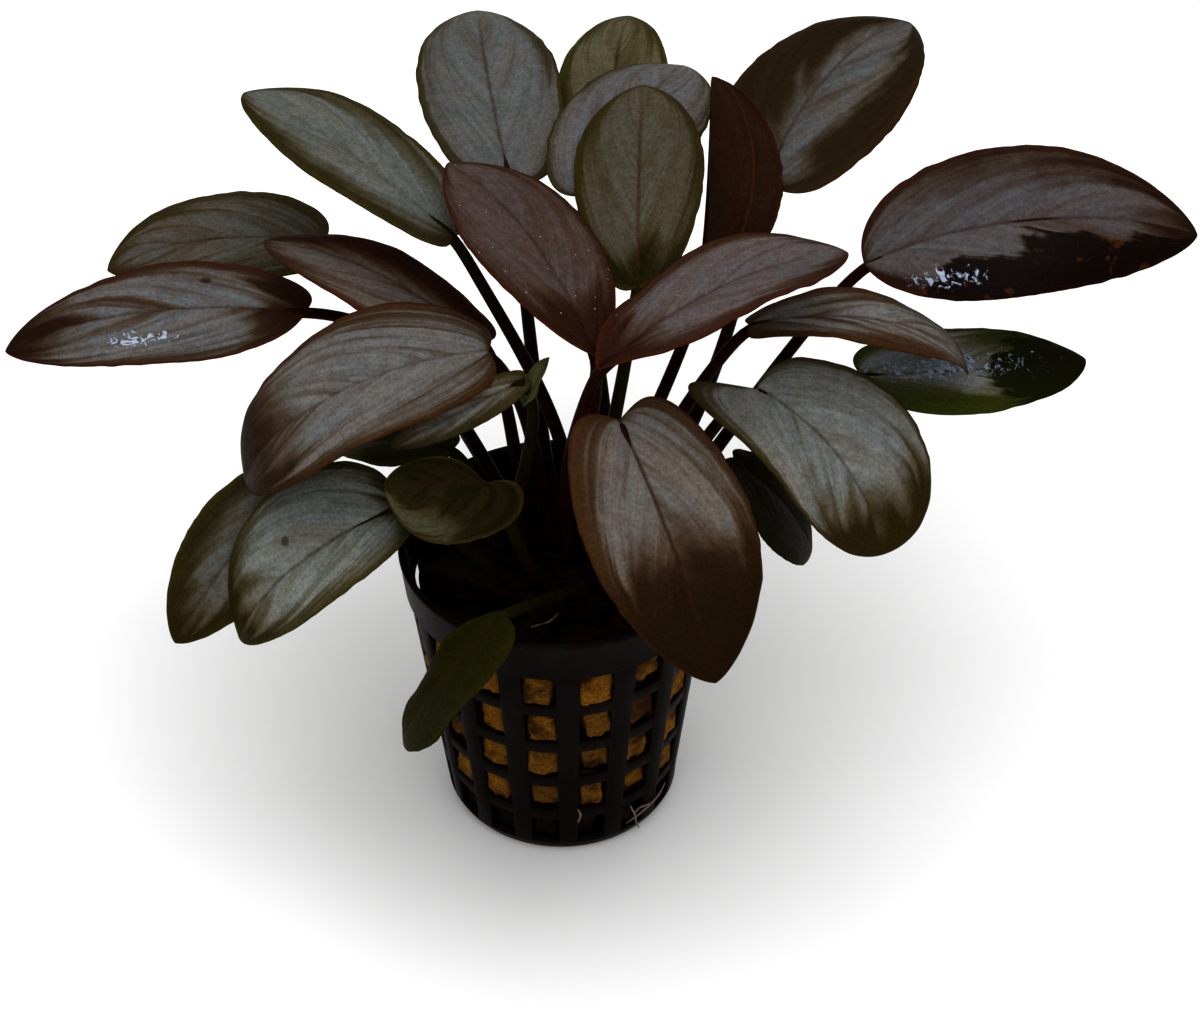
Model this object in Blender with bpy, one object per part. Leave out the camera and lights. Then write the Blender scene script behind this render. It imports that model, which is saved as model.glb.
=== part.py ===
"""A red lagenandra in a mesh pot: net pot, rock wool plug, rhizome, roots and one solid for each leaf.

The frame is +Z up, with the origin at the centre of the pot's flat underside. -Y is the front.
Sizes are in millimetres here and are scaled to metres as each mesh is made.
"""

from dataclasses import dataclass
from math import cos, exp, pi, radians, sin

import bmesh
import bpy
from mathutils import Matrix, Vector

MM = 0.001

# Net pot
POT_HEIGHT = 55.0
RIM_RADIUS = 27.5
BAND_BOTTOM = 47.0
BAND_STEP = 0.5
WALL_TOP_RADIUS = 26.1
HEEL_RADIUS = 20.7
HEEL_HEIGHT = 3.6
HEEL_TURN = (19.9, 1.1)
FOOT_RADIUS = 18.5
POT_WALL = 1.2
WINDOW_COLUMNS = 16
WINDOW_ROWS = 5
WINDOW_TOP = 46.5
WINDOW_PITCH = 9.9
WINDOW_HEIGHT = 7.4
WINDOW_SHRINK = 0.3
WINDOW_SHARE = 0.59
FRONT_WINDOW_DEG = 14.8
BASE_HUB_RADIUS = 6.0
BASE_RING_RADIUS = 15.5

# Rock wool plug and rhizome
GAP = 0.35
WOOL_TOP = 49.0
WOOL_CLEARANCE = 0.5
WOOL_SHOULDER = 1.0
CROWN_RADIUS = 13.0
CROWN_RISE = 7.0
CROWN_PLACE = Vector((3.0, -3.0))

# Leaf stalks stand on the rhizome in rings, each at an angle from the top and with so many places
CROWN_RINGS = ((9, 3), (23, 8), (38, 13), (52, 16))
STALK_RADIUS_FOOT = 1.45
STALK_RADIUS_TOP = 1.05
STALK_STEPS = 5
STALK_REACH = 0.36
STALK_ARRIVAL = 0.35
RING_POINTS = 8

# Leaf blade
BLADE_THICKNESS = 0.5
RIB_THICKNESS = 1.3
RIB_THINNING = 0.4
BLADE_STATIONS = (0.03, 0.09, 0.18, 0.3, 0.43, 0.57, 0.7, 0.82, 0.92, 0.98)
LOBE_STATION = 0.08
LOBE_FALL = 0.7
LOBE_SWEEP = 1.6
LEAN_TO_MIDDLE = 0.1

ROOT_SIDES = 6


@dataclass
class Leaf:
    """One leaf. Base is where its stalk meets the blade, tip is the blade's point, both in millimetres."""

    name: str
    place: tuple  # ring on the rhizome, and the place in that ring
    base: tuple
    tip: tuple
    width: float
    roll: float = 0.0  # degrees that the blade's upper face turns about its length
    rise: float = 12.0  # degrees that the blade leaves its base above the line to the tip
    droop: float = 18.0  # degrees that it ends below that line
    swing: float = 0.0  # degrees that it leaves its base to the right of that line
    fold: float = 8.0  # degrees that each half stands up from the midrib
    curl: float = -14.0  # further degrees from midrib to margin, downwards where negative
    lobe: float = 0.06  # how far the base's lobes reach back, as a share of the length
    lobe_lean: float = 0.0  # what the right lobe reaches more than that, and the left lobe less
    heel: float = 0.55  # 0.5 is a round base and 1 is a pointed one
    point: float = 0.72  # 0.5 is a round tip and 1 is a sharp one
    lean: float = 0.0  # share by which the right half is wider and the left half narrower
    bow: tuple = (0, 0, 0)  # how far the stalk's middle knots are pushed
    skin: str = "brown"


LEAVES = (
    Leaf(
        "leaf_far_left", (2, 6), (-43, 24, 86), (-95, 24, 78), 22,
        roll=-12, swing=8, lobe=0.025, lobe_lean=0.03, lean=-0.08, bow=(-1, 14, 5), skin="red",
    ),
    Leaf(
        "leaf_left_back", (3, 6), (-41.4, 44, 86), (-79, 42, 82), 21,
        roll=-10, swing=14, skin="olive",
    ),
    Leaf(
        "leaf_left_brown", (2, 5), (-12, 12.3, 88.3), (-50, 32.8, 94.6), 16.5,
        rise=20, droop=24, lean=-0.15, skin="red",
    ),
    Leaf(
        "leaf_left_broad", (1, 3), (-11, 1, 95), (-52, -3, 70.5), 28,
        roll=-10, rise=31, droop=48, swing=4, point=0.58, lean=0.03,
    ),
    Leaf(
        "leaf_left_folded", (2, 7), (-5, -4, 93), (-27.5, -4, 79), 6.8,
        roll=-60, rise=24, skin="olive",
    ),
    Leaf(
        "leaf_low_left_dark", (3, 8), (-45, 5, 65.6), (-65, -15, 45.6), 17.5,
        roll=-20, rise=20, droop=24, skin="olive",
    ),
    Leaf(
        "leaf_low_left_broad", (3, 9), (-26, -10.4, 71.3), (-53.5, -18, 49), 26,
        roll=-16, rise=36, droop=42, lean=0.2, skin="green",
    ),
    Leaf("leaf_left_under", (3, 7), (-18, 8.1, 68.6), (-38, 17.1, 61.6), 13, skin="green"),
    Leaf(
        "leaf_small_heart", (2, 8), (-12.2, -11.8, 77.4), (-28, -14.8, 79.5), 15,
        roll=-34, lobe=0.27, lobe_lean=-0.3, point=0.6, lean=-0.4, skin="green",
    ),
    Leaf(
        "leaf_upper_left_long", (1, 2), (-17, 21, 104), (-54.2, 57, 109), 20,
        swing=-4, heel=0.6, point=0.68, lean=0.12, skin="olive",
    ),
    Leaf("leaf_top_left_round", (2, 4), (-8, 40, 102), (-15, 98.3, 100), 25.5, swing=-4, skin="olive"),
    Leaf("leaf_top_centre", (2, 3), (10, 45, 99), (13, 97.8, 99), 20, swing=-6, skin="green"),
    Leaf("leaf_top_grey", (1, 1), (5.2, 29, 106.1), (22.7, 73.3, 103.6), 25, skin="olive"),
    Leaf(
        "leaf_centre_upright", (0, 0), (13.5, 9.4, 101.8), (15, 57.4, 109.8), 22,
        heel=0.7, skin="green",
    ),
    Leaf(
        "leaf_centre_left_red", (0, 1), (6.8, -6.3, 99.2), (-18, 31.7, 111.2), 23,
        roll=10, swing=8, lobe=0.0, heel=0.85, point=0.8, skin="red",
    ),
    Leaf(
        "leaf_centre_right_red", (0, 2), (6.8, -14.6, 103), (48, 13.1, 105.6), 21.5,
        swing=-8, lobe=0.0, heel=0.8, point=0.68, lean=-0.1, skin="red",
    ),
    Leaf(
        "leaf_rolled", (2, 2), (25.6, 28.7, 89.9), (26.8, 53.2, 114.1), 23,
        roll=80, rise=0, droop=0, fold=52, curl=25, lobe=0.0, point=0.6, lean=0.13, skin="red",
    ),
    Leaf(
        "leaf_top_right", (2, 1), (36, 43.4, 98.2), (64.2, 91.4, 101.2), 31,
        swing=-14, lean=0.1, bow=(4, 4, 0),
    ),
    Leaf(
        "leaf_far_right", (2, 0), (51.5, 19, 99), (109, 31, 96), 28,
        roll=28, rise=20, swing=-14, lobe=0, bow=(0, 8, -8), skin="red",
    ),
    Leaf("leaf_right_arched", (1, 0), (32, 7, 95.5), (69, 10, 83), 14, rise=32, droop=52, point=0.6),
    Leaf(
        "leaf_right_wet", (3, 0), (51, 11, 82), (91, 24, 75), 19.5,
        roll=12, rise=4, droop=10, swing=10, bow=(0, 6, -4), skin="green",
    ),
    Leaf(
        "leaf_right_broad", (2, 12), (33, 1, 87), (53, -16, 65), 28.7,
        rise=20, droop=32, swing=-20, lobe=0.19, lobe_lean=0.17, point=0.5, lean=-0.13, skin="olive",
    ),
    Leaf(
        "leaf_right_under", (3, 15), (29.5, -2, 74.5), (43, -4, 56), 18,
        point=0.6, lean=0.35, skin="green",
    ),
    Leaf(
        "leaf_front_broad", (2, 11), (10.3, -14.9, 93.2), (25.2, -47.6, 65.9), 28.6,
        lobe=0.1, lean=-0.04,
    ),
    Leaf(
        "leaf_front_small", (2, 10), (-9, -26, 61), (-26, -31, 37), 15,
        roll=-10, rise=20, droop=30, swing=-10, lean=-0.3, bow=(-3, -0.3, -2), skin="green",
    ),
    Leaf("leaf_on_wool", (3, 10), (-10, -9, 51), (-24, -1, 51), 11, rise=4, droop=6, fold=4),
)

# Each root is a row of points with its radius
ROOTS = {
    "root_on_wool": (((3.2, -15.3, 50.2), (1.1, -16.3, 50.1), (-1.8, -17.3, 50.0), (-4.8, -17.9, 50.0)), 0.4),
    "root_in_window": (((13.5, -15.4, 7.9), (13.2, -15.7, 6.9), (12.9, -16.0, 5.9), (12.6, -16.3, 4.9)), 0.4),
}

SKINS = {
    "red": (0.16, 0.07, 0.05),
    "brown": (0.15, 0.10, 0.07),
    "olive": (0.14, 0.14, 0.10),
    "green": (0.10, 0.15, 0.05),
}


def clear_scene():
    for obj in list(bpy.data.objects):
        bpy.data.objects.remove(obj)


def material(name, colour, roughness):
    made = bpy.data.materials.get(name) or bpy.data.materials.new(name)
    made.use_nodes = True
    shader = made.node_tree.nodes["Principled BSDF"]
    shader.inputs["Base Color"].default_value = (*colour, 1.0)
    shader.inputs["Roughness"].default_value = roughness
    shader.inputs["Metallic"].default_value = 0.0
    return made


def add_object(name, data, finish):
    obj = bpy.data.objects.new(name, data)
    data.materials.append(finish)
    bpy.context.scene.collection.objects.link(obj)
    return obj


def mesh_object(name, points, faces, finish):
    """A mesh from points in millimetres."""
    mesh = bpy.data.meshes.new(name)
    mesh.from_pydata([p * MM for p in points], [], faces)
    mesh.update()
    return add_object(name, mesh, finish)


def turned_points(profile, angles):
    """A profile of (radius, height) turned about Z, one ring after another."""
    return [Vector((radius * cos(a), radius * sin(a), z)) for radius, z in profile for a in angles]


def band_faces(first, count):
    """The quads between one ring of points and the next, where the first ring starts at that index."""
    after = [(k + 1) % count for k in range(count)]
    return [(first + k, first + after[k], first + count + after[k], first + count + k) for k in range(count)]


def face_outwards(obj):
    shape = bmesh.new()
    shape.from_mesh(obj.data)
    bmesh.ops.recalc_face_normals(shape, faces=shape.faces)
    shape.to_mesh(obj.data)
    shape.free()


def square_to(vector, axis):
    """The part of vector that is square to axis, as a unit vector."""
    return (vector - axis * vector.dot(axis)).normalized()


def bezier(knots, t):
    """Point and direction on a cubic Bezier curve."""
    a, b, c, d = knots
    s = 1.0 - t
    point = a * s**3 + b * 3 * t * s**2 + c * 3 * t**2 * s + d * t**3
    way = (b - a) * s**2 + (c - b) * 2 * t * s + (d - c) * t**2
    return point, way.normalized()


def wall_radius(z):
    """Outer radius of the pot's tapered wall below its band."""
    share = (z - HEEL_HEIGHT) / (BAND_BOTTOM - HEEL_HEIGHT)
    return HEEL_RADIUS + share * (WALL_TOP_RADIUS - HEEL_RADIUS)


def window_rows():
    """(bottom, top) of each row of windows from the lowest up, each row a little taller than the last."""
    rows = []
    top = WINDOW_TOP
    for row in range(WINDOW_ROWS):
        rows.append((top - WINDOW_HEIGHT + WINDOW_SHRINK * row, top))
        top -= WINDOW_PITCH - WINDOW_SHRINK * row
    return rows[::-1]


def pot_profile():
    """(radius, height) of the outer surface from the middle of the base to the rim.

    The second list says which stretches between those points hold windows.
    """
    profile = [(BASE_HUB_RADIUS, 0.0), (BASE_RING_RADIUS, 0.0), (FOOT_RADIUS, 0.0), HEEL_TURN]
    windowed = [True, False, False]
    for bottom, top in window_rows():
        windowed += [False, True]
        profile += [(wall_radius(bottom), bottom), (wall_radius(top), top)]
    profile += [(wall_radius(BAND_BOTTOM) + BAND_STEP, BAND_BOTTOM), (RIM_RADIUS, POT_HEIGHT)]
    windowed += [False, False]
    return profile, windowed


def column_angles():
    """Angles round the pot of each window's two sides, window first, measured from +X."""
    pitch = 2 * pi / WINDOW_COLUMNS
    first = radians(FRONT_WINDOW_DEG - 90) - pitch * WINDOW_SHARE / 2
    return [first + pitch * k + side for k in range(WINDOW_COLUMNS) for side in (0.0, pitch * WINDOW_SHARE)]


def net_pot():
    """The pot is one surface turned about Z, with its windows left out, given its wall inwards."""
    profile, windowed = pot_profile()
    angles = column_angles()
    count = len(angles)
    points = [Vector((0.0, 0.0, 0.0))] + turned_points(profile, angles)
    faces = [(0, 1 + (k + 1) % count, 1 + k) for k in range(count)]
    for level, has_windows in enumerate(windowed):
        band = band_faces(1 + level * count, count)
        faces += band[1::2] if has_windows else band
    pot = mesh_object("net_pot", points, faces, material("pot_plastic", (0.02, 0.02, 0.024), 0.35))
    wall = pot.modifiers.new("wall", "SOLIDIFY")
    wall.thickness = POT_WALL * MM
    wall.offset = -1.0
    wall.use_even_offset = True


def rock_wool():
    """The wool fills the pot with a small gap, and stops below the rim."""
    bottom = POT_WALL + GAP
    inset = POT_WALL + WOOL_CLEARANCE
    top_radius = wall_radius(BAND_BOTTOM) - inset
    profile = [
        (FOOT_RADIUS - inset, bottom),
        (HEEL_RADIUS - inset, HEEL_HEIGHT + bottom),
        (top_radius, BAND_BOTTOM),
        (top_radius - WOOL_SHOULDER, WOOL_TOP),
    ]
    angles = column_angles()
    count = len(angles)
    top = (len(profile) - 1) * count
    faces = [tuple(reversed(range(count))), tuple(range(top, top + count))]
    for first in range(0, top, count):
        faces += band_faces(first, count)
    finish = material("wool", (0.32, 0.22, 0.07), 0.95)
    mesh_object("rock_wool", turned_points(profile, angles), faces, finish)


def crown_centre():
    """Centre of the sphere that the rhizome's domed top follows."""
    return Vector((*CROWN_PLACE, WOOL_TOP + GAP + CROWN_RISE - CROWN_RADIUS))


def rhizome():
    """A squat dome that sits on the wool and carries the leaf stalks."""
    shape = bmesh.new()
    bmesh.ops.create_icosphere(shape, subdivisions=2, radius=CROWN_RADIUS - GAP)
    bmesh.ops.translate(shape, verts=shape.verts, vec=crown_centre())
    cut = bmesh.ops.bisect_plane(
        shape,
        geom=shape.verts[:] + shape.edges[:] + shape.faces[:],
        plane_co=(0.0, 0.0, WOOL_TOP + GAP),
        plane_no=(0.0, 0.0, 1.0),
        clear_inner=True,
    )
    bmesh.ops.edgeloop_fill(shape, edges=[e for e in cut["geom_cut"] if isinstance(e, bmesh.types.BMEdge)])
    bmesh.ops.recalc_face_normals(shape, faces=shape.faces)
    bmesh.ops.scale(shape, verts=shape.verts, vec=(MM, MM, MM))
    data = bpy.data.meshes.new("rhizome")
    shape.to_mesh(data)
    shape.free()
    add_object("rhizome", data, material("rhizome", (0.09, 0.05, 0.03), 0.7))


def crown_foot(place):
    """A stalk's foot on the rhizome, and the way it leaves."""
    ring, number = place
    tilt, count = CROWN_RINGS[ring]
    heading = 2 * pi * number / count
    away = Vector((sin(radians(tilt)) * cos(heading), sin(radians(tilt)) * sin(heading), cos(radians(tilt))))
    return crown_centre() + away * CROWN_RADIUS, away


class Spine:
    """The midrib of one blade, as a curve from base to tip with an upper side all along it."""

    def __init__(self, leaf):
        base, tip = Vector(leaf.base), Vector(leaf.tip)
        self.length = (tip - base).length
        along = (tip - base).normalized()
        inwards = Vector((CROWN_PLACE.x - base.x, CROWN_PLACE.y - base.y, 0.0)).normalized()
        level = square_to(Vector((0.0, 0.0, 1.0)) + inwards * LEAN_TO_MIDDLE, along)
        self.upwards = Matrix.Rotation(radians(leaf.roll), 3, along) @ level
        sideways = along.cross(self.upwards) * sin(radians(leaf.swing))
        rise, droop = radians(leaf.rise), radians(leaf.droop)
        start = (along * cos(rise) + self.upwards * sin(rise) + sideways).normalized()
        end = (along * cos(droop) - self.upwards * sin(droop) - sideways).normalized()
        reach = self.length / 3
        self.knots = (base, base + start * reach, tip - end * reach, tip)

    def frame(self, share):
        """Point, right and up vectors at a share of the length."""
        t = min(max(share, 0.0), 1.0)
        point, forward = bezier(self.knots, t)
        point += forward * (share - t) * self.length
        up = square_to(self.upwards, forward)
        return point, forward.cross(up), up


def half_width(leaf, share):
    """Half the blade's width at a share of its length: a rounded base, then an oval to the tip."""
    p, q = leaf.heel, leaf.point
    widest = p / (p + q)
    most = widest**p * (1 - widest) ** q
    return leaf.width / 2 * share**p * (1 - share) ** q / most


def lobe_reach(leaf, share, side):
    """How far the margin lies behind the midrib's point, as a share of the length."""
    rise = share / LOBE_STATION
    return (leaf.lobe + leaf.lobe_lean * side) * (rise * exp(1 - rise)) ** LOBE_FALL


def blade_point(leaf, spine, share, across):
    """Point and upward normal on the blade. Across runs from -1 at the left margin to 1 at the right."""
    side = 1.0 if across >= 0 else -1.0
    back = lobe_reach(leaf, share, side) * abs(across) ** LOBE_SWEEP
    point, right, up = spine.frame(share - back)
    start, bend = radians(leaf.fold), radians(leaf.curl) * abs(across)
    slope = start + bend
    reach = half_width(leaf, share) * (1.0 + leaf.lean * side) * abs(across)
    out, lift = reach * cos(start), reach * sin(start)
    if bend:
        out = reach * (sin(slope) - sin(start)) / bend
        lift = reach * (cos(start) - cos(slope)) / bend
    return point + right * side * out + up * lift, up * cos(slope) - right * side * sin(slope)


def blade_ring(leaf, spine, share):
    """The eight points round the blade at one station, over the top from left to right and back under."""
    ring = []
    for across in (-1.0, -0.5, 0.0, 0.5, 1.0):
        point, normal = blade_point(leaf, spine, share, across)
        height = 0.0 if abs(across) == 1.0 else BLADE_THICKNESS / 2
        ring.append(point + normal * height)
    for across in (0.5, 0.0, -0.5):
        point, normal = blade_point(leaf, spine, share, across)
        depth = BLADE_THICKNESS / 2 if across else RIB_THICKNESS * (1.0 - RIB_THINNING * share)
        ring.append(point - normal * depth)
    return ring


def stalk_knots(leaf, spine):
    """The stalk rises square to the rhizome and arrives nearly in line with the blade."""
    foot, away = crown_foot(leaf.place)
    top, blade_way = bezier(spine.knots, 0.0)
    reach = (top - foot).length * STALK_REACH
    arrival = ((top - foot).normalized() + blade_way * STALK_ARRIVAL).normalized()
    bow = Vector(leaf.bow)
    return foot, foot + away * reach + bow, top - arrival * reach + bow, top


def stalk_rings(leaf, spine):
    """Round sections from the rhizome to the blade."""
    knots = stalk_knots(leaf, spine)
    _, blade_right, _ = spine.frame(0.0)
    turns = [pi - 2 * pi * k / RING_POINTS for k in range(RING_POINTS)]
    rings = []
    for step in range(STALK_STEPS + 1):
        t = step / STALK_STEPS
        point, forward = bezier(knots, t)
        side = square_to(blade_right, forward)
        up = side.cross(forward)
        radius = STALK_RADIUS_FOOT + (STALK_RADIUS_TOP - STALK_RADIUS_FOOT) * t
        rings.append([point + (side * cos(turn) + up * sin(turn)) * radius for turn in turns])
    return rings


def leaf_solid(leaf):
    """Stalk and blade are one skin of rings, closed at the foot and at the tip."""
    spine = Spine(leaf)
    rings = stalk_rings(leaf, spine)
    rings += [blade_ring(leaf, spine, share) for share in BLADE_STATIONS]
    points = [p for ring in rings for p in ring] + [Vector(leaf.tip)]
    tip, last = len(points) - 1, len(points) - 1 - RING_POINTS
    faces = [tuple(reversed(range(RING_POINTS)))]
    for first in range(0, last, RING_POINTS):
        faces += band_faces(first, RING_POINTS)
    faces += [(last + k, last + (k + 1) % RING_POINTS, tip) for k in range(RING_POINTS)]
    obj = mesh_object(leaf.name, points, faces, material("leaf_" + leaf.skin, SKINS[leaf.skin], 0.4))
    face_outwards(obj)
    obj.data.shade_smooth()


def root(name, points, radius):
    """A thin root through its points, closed at both ends."""
    knots = [Vector(p) for p in points]
    skin = []
    for before, point, after in zip(knots[:1] + knots[:-1], knots, knots[1:] + knots[-1:]):
        forward = (after - before).normalized()
        side = square_to(Vector((0.3, 0.4, 1.0)), forward)
        up = side.cross(forward)
        turns = [2 * pi * k / ROOT_SIDES for k in range(ROOT_SIDES)]
        skin += [point + (side * cos(turn) + up * sin(turn)) * radius for turn in turns]
    last = len(skin) - ROOT_SIDES
    faces = [tuple(range(ROOT_SIDES)), tuple(reversed(range(last, len(skin))))]
    for first in range(0, last, ROOT_SIDES):
        faces += band_faces(first, ROOT_SIDES)
    face_outwards(mesh_object(name, skin, faces, material("root", (0.42, 0.30, 0.24), 0.6)))


def main():
    clear_scene()
    net_pot()
    rock_wool()
    rhizome()
    for leaf in LEAVES:
        leaf_solid(leaf)
    for name, (points, radius) in ROOTS.items():
        root(name, points, radius)


main()
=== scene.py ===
"""Dresses the potted lagenandra: mesh pot, rock wool plug, crown, leaves, roots and a plain pale table.

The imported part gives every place. Sizes of the plant are in millimetres and become metres in the meshes.
"""

from dataclasses import dataclass, field
from math import cos, exp, log, pi, radians, sin

import bpy
from bpy.props import FloatProperty, FloatVectorProperty, IntProperty, PointerProperty
from mathutils import Matrix, Vector, noise


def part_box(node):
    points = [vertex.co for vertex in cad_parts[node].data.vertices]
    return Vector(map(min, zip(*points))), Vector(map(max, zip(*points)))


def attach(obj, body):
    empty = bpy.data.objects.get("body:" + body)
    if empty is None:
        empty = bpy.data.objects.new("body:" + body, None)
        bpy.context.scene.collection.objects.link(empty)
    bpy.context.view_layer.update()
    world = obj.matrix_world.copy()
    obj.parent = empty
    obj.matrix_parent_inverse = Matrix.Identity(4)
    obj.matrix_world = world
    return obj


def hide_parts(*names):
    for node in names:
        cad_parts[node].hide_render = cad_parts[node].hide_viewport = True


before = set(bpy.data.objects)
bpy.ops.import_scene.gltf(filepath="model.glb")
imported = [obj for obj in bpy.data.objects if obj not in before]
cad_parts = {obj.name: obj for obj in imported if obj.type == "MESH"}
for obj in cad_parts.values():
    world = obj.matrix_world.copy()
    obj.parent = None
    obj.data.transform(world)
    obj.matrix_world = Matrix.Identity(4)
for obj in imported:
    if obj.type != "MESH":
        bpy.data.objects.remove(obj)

bl_info = {
    "name": "Potted Lagenandra",
    "version": (1, 0, 0),
    "blender": (4, 5, 0),
    "location": "View3D > Sidebar > Lagenandra",
    "description": "Grows a red lagenandra in a mesh pot of rock wool",
    "category": "Add Mesh",
}

MM = 0.001
BODY = "root"

POT_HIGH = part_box("net_pot")[1]
WOOL_LOW, WOOL_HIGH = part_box("rock_wool")

# Net pot, in millimetres
POT_HEIGHT = POT_HIGH.z / MM
RIM_RADIUS = POT_HIGH.x / MM
BAND_BOTTOM = 47.0
BAND_STEP = 0.5
WALL_TOP_RADIUS = 26.1
HEEL_RADIUS = 20.7
HEEL_HEIGHT = 3.6
HEEL_TURN = (19.9, 1.1)
FOOT_RADIUS = 18.5
WINDOW_COLUMNS = 16
WINDOW_ROWS = 5
WINDOW_TOP = 46.5
WINDOW_PITCH = 9.9
WINDOW_HEIGHT = 7.4
WINDOW_SHRINK = 0.3
FRONT_WINDOW_DEG = 14.8
BASE_HUB_RADIUS = 6.0
BASE_RING_RADIUS = 15.5
STEPS_PER_COLUMN = 12
WINDOW_STEPS = 7
BAR_EDGE = 0.2
BAR_DEPTH = 0.6
CORNER_ANGLE = radians(38)
SMOOTH_ANGLE = radians(35)

# Rock wool and the peat on it, in millimetres. Gaps are from the pot's outer face.
CORE_GAP = 3.6
CORE_RINGS = 40
CORE_SIDES = 128
CUBE_DEPTH = 4.2
PEAT_GAP = 1.9
PEAT_SINK = 0.9
PEAT_SIDES = 160
PEAT_RINGS = 56
CRUMBS = 260
CRUMB_TURN = 2.399963

# Crown, in millimetres
CROWN_RADIUS = 13.0
CROWN_RISE = 7.0
CROWN_PLACE = Vector((3.0, -3.0))
CROWN_GAP = 0.35
CROWN_SKIN = 0.5
CROWN_SINK = 0.4

# Rings of leaves on the crown: degrees from upright, and places in the ring
CROWN_RINGS = ((9, 3), (23, 8), (38, 13), (52, 16))

# Leaf outline, as in the solids. Stations are shares of the length.
LOBE_STATION = 0.08
LOBE_FALL = 0.7
LOBE_SWEEP = 1.6
HOOK_STATION = 0.08
LEAN_TO_MIDDLE = 0.1

# Blade's thin margin: its width in millimetres, and its share of the full thickness
THIN_MARGIN = 2.5
MARGIN_THICKNESS = 0.35

# Stalk, and the midrib that runs on from it, in millimetres
STALK_REACH = 0.36
STALK_ARRIVAL = 0.35
STALK_FOOT_DEPTH = 1.2
STALK_RADIUS = 1.32
STALK_TAPER = 0.36
SHEATH = 0.55
SHEATH_STATION = 0.10
STALK_STEPS = 30
STALK_SIDES = 14
MIDRIB_RADIUS = 0.92
MIDRIB_LEAST = 0.12
MIDRIB_STEPS = 40
MIDRIB_END = 0.97
BEND_STEPS = 5
BEND_ROUNDS = 6

# Roots
ROOT_STEPS = 8
ROOT_SIDES = 12
ROOT_TAPER = 0.6

# Veins leave the midrib low down and close up on the margin
VEIN_SWEEP = 0.5
VEIN_HUG = 0.93

# A margin swerves by this share of the half width
MARGIN_NOISE = 0.022

# Stage, in metres
TABLE_SIZE = 8.0
LIGHT_AIM = (0.0, 0.0, 0.08)
CAMERA_AIM = Vector((0.0071, 0.0, 0.061))
CAMERA_DISTANCE = 0.566
CAMERA_LEAN = radians(0.33)
SENSOR_WIDTH = 36.0


@dataclass
class Leaf:
    """One leaf. Base is where its stalk meets the blade, tip is the blade's point, both in millimetres."""

    name: str
    place: tuple  # ring on the crown, and the place in that ring
    base: tuple
    tip: tuple
    width: float
    roll: float = 0.0  # degrees that the blade's upper face turns about its length
    rise: float = 12.0  # degrees that the blade leaves its base above the line to the tip
    droop: float = 18.0  # degrees that it ends below that line
    swing: float = 0.0  # degrees that it leaves its base to the right of that line
    fold: float = 8.0  # degrees that each half stands up from the midrib
    curl: float = -14.0  # further degrees from midrib to margin, downwards where negative
    lobe: float = 0.06  # how far the base's lobes reach back, as a share of the length
    lobe_lean: float = 0.0  # what the right lobe reaches more than that, and the left lobe less
    hook: float = 0.0  # how far the longer lobe curves in across the stalk
    heel: float = 0.55  # 0.5 is a round base and 1 is a pointed one
    point: float = 0.72  # 0.5 is a round tip and 1 is a sharp one
    lean: float = 0.0  # share by which the right half is wider and the left half narrower
    bow: tuple = (0, 0, 0)  # how far the stalk's middle knots are pushed
    skin: str = "brown"
    ruffle: float = 1.0  # how wavy the margin is
    look: dict = field(default_factory=dict)  # what differs from the skin's usual look


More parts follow.
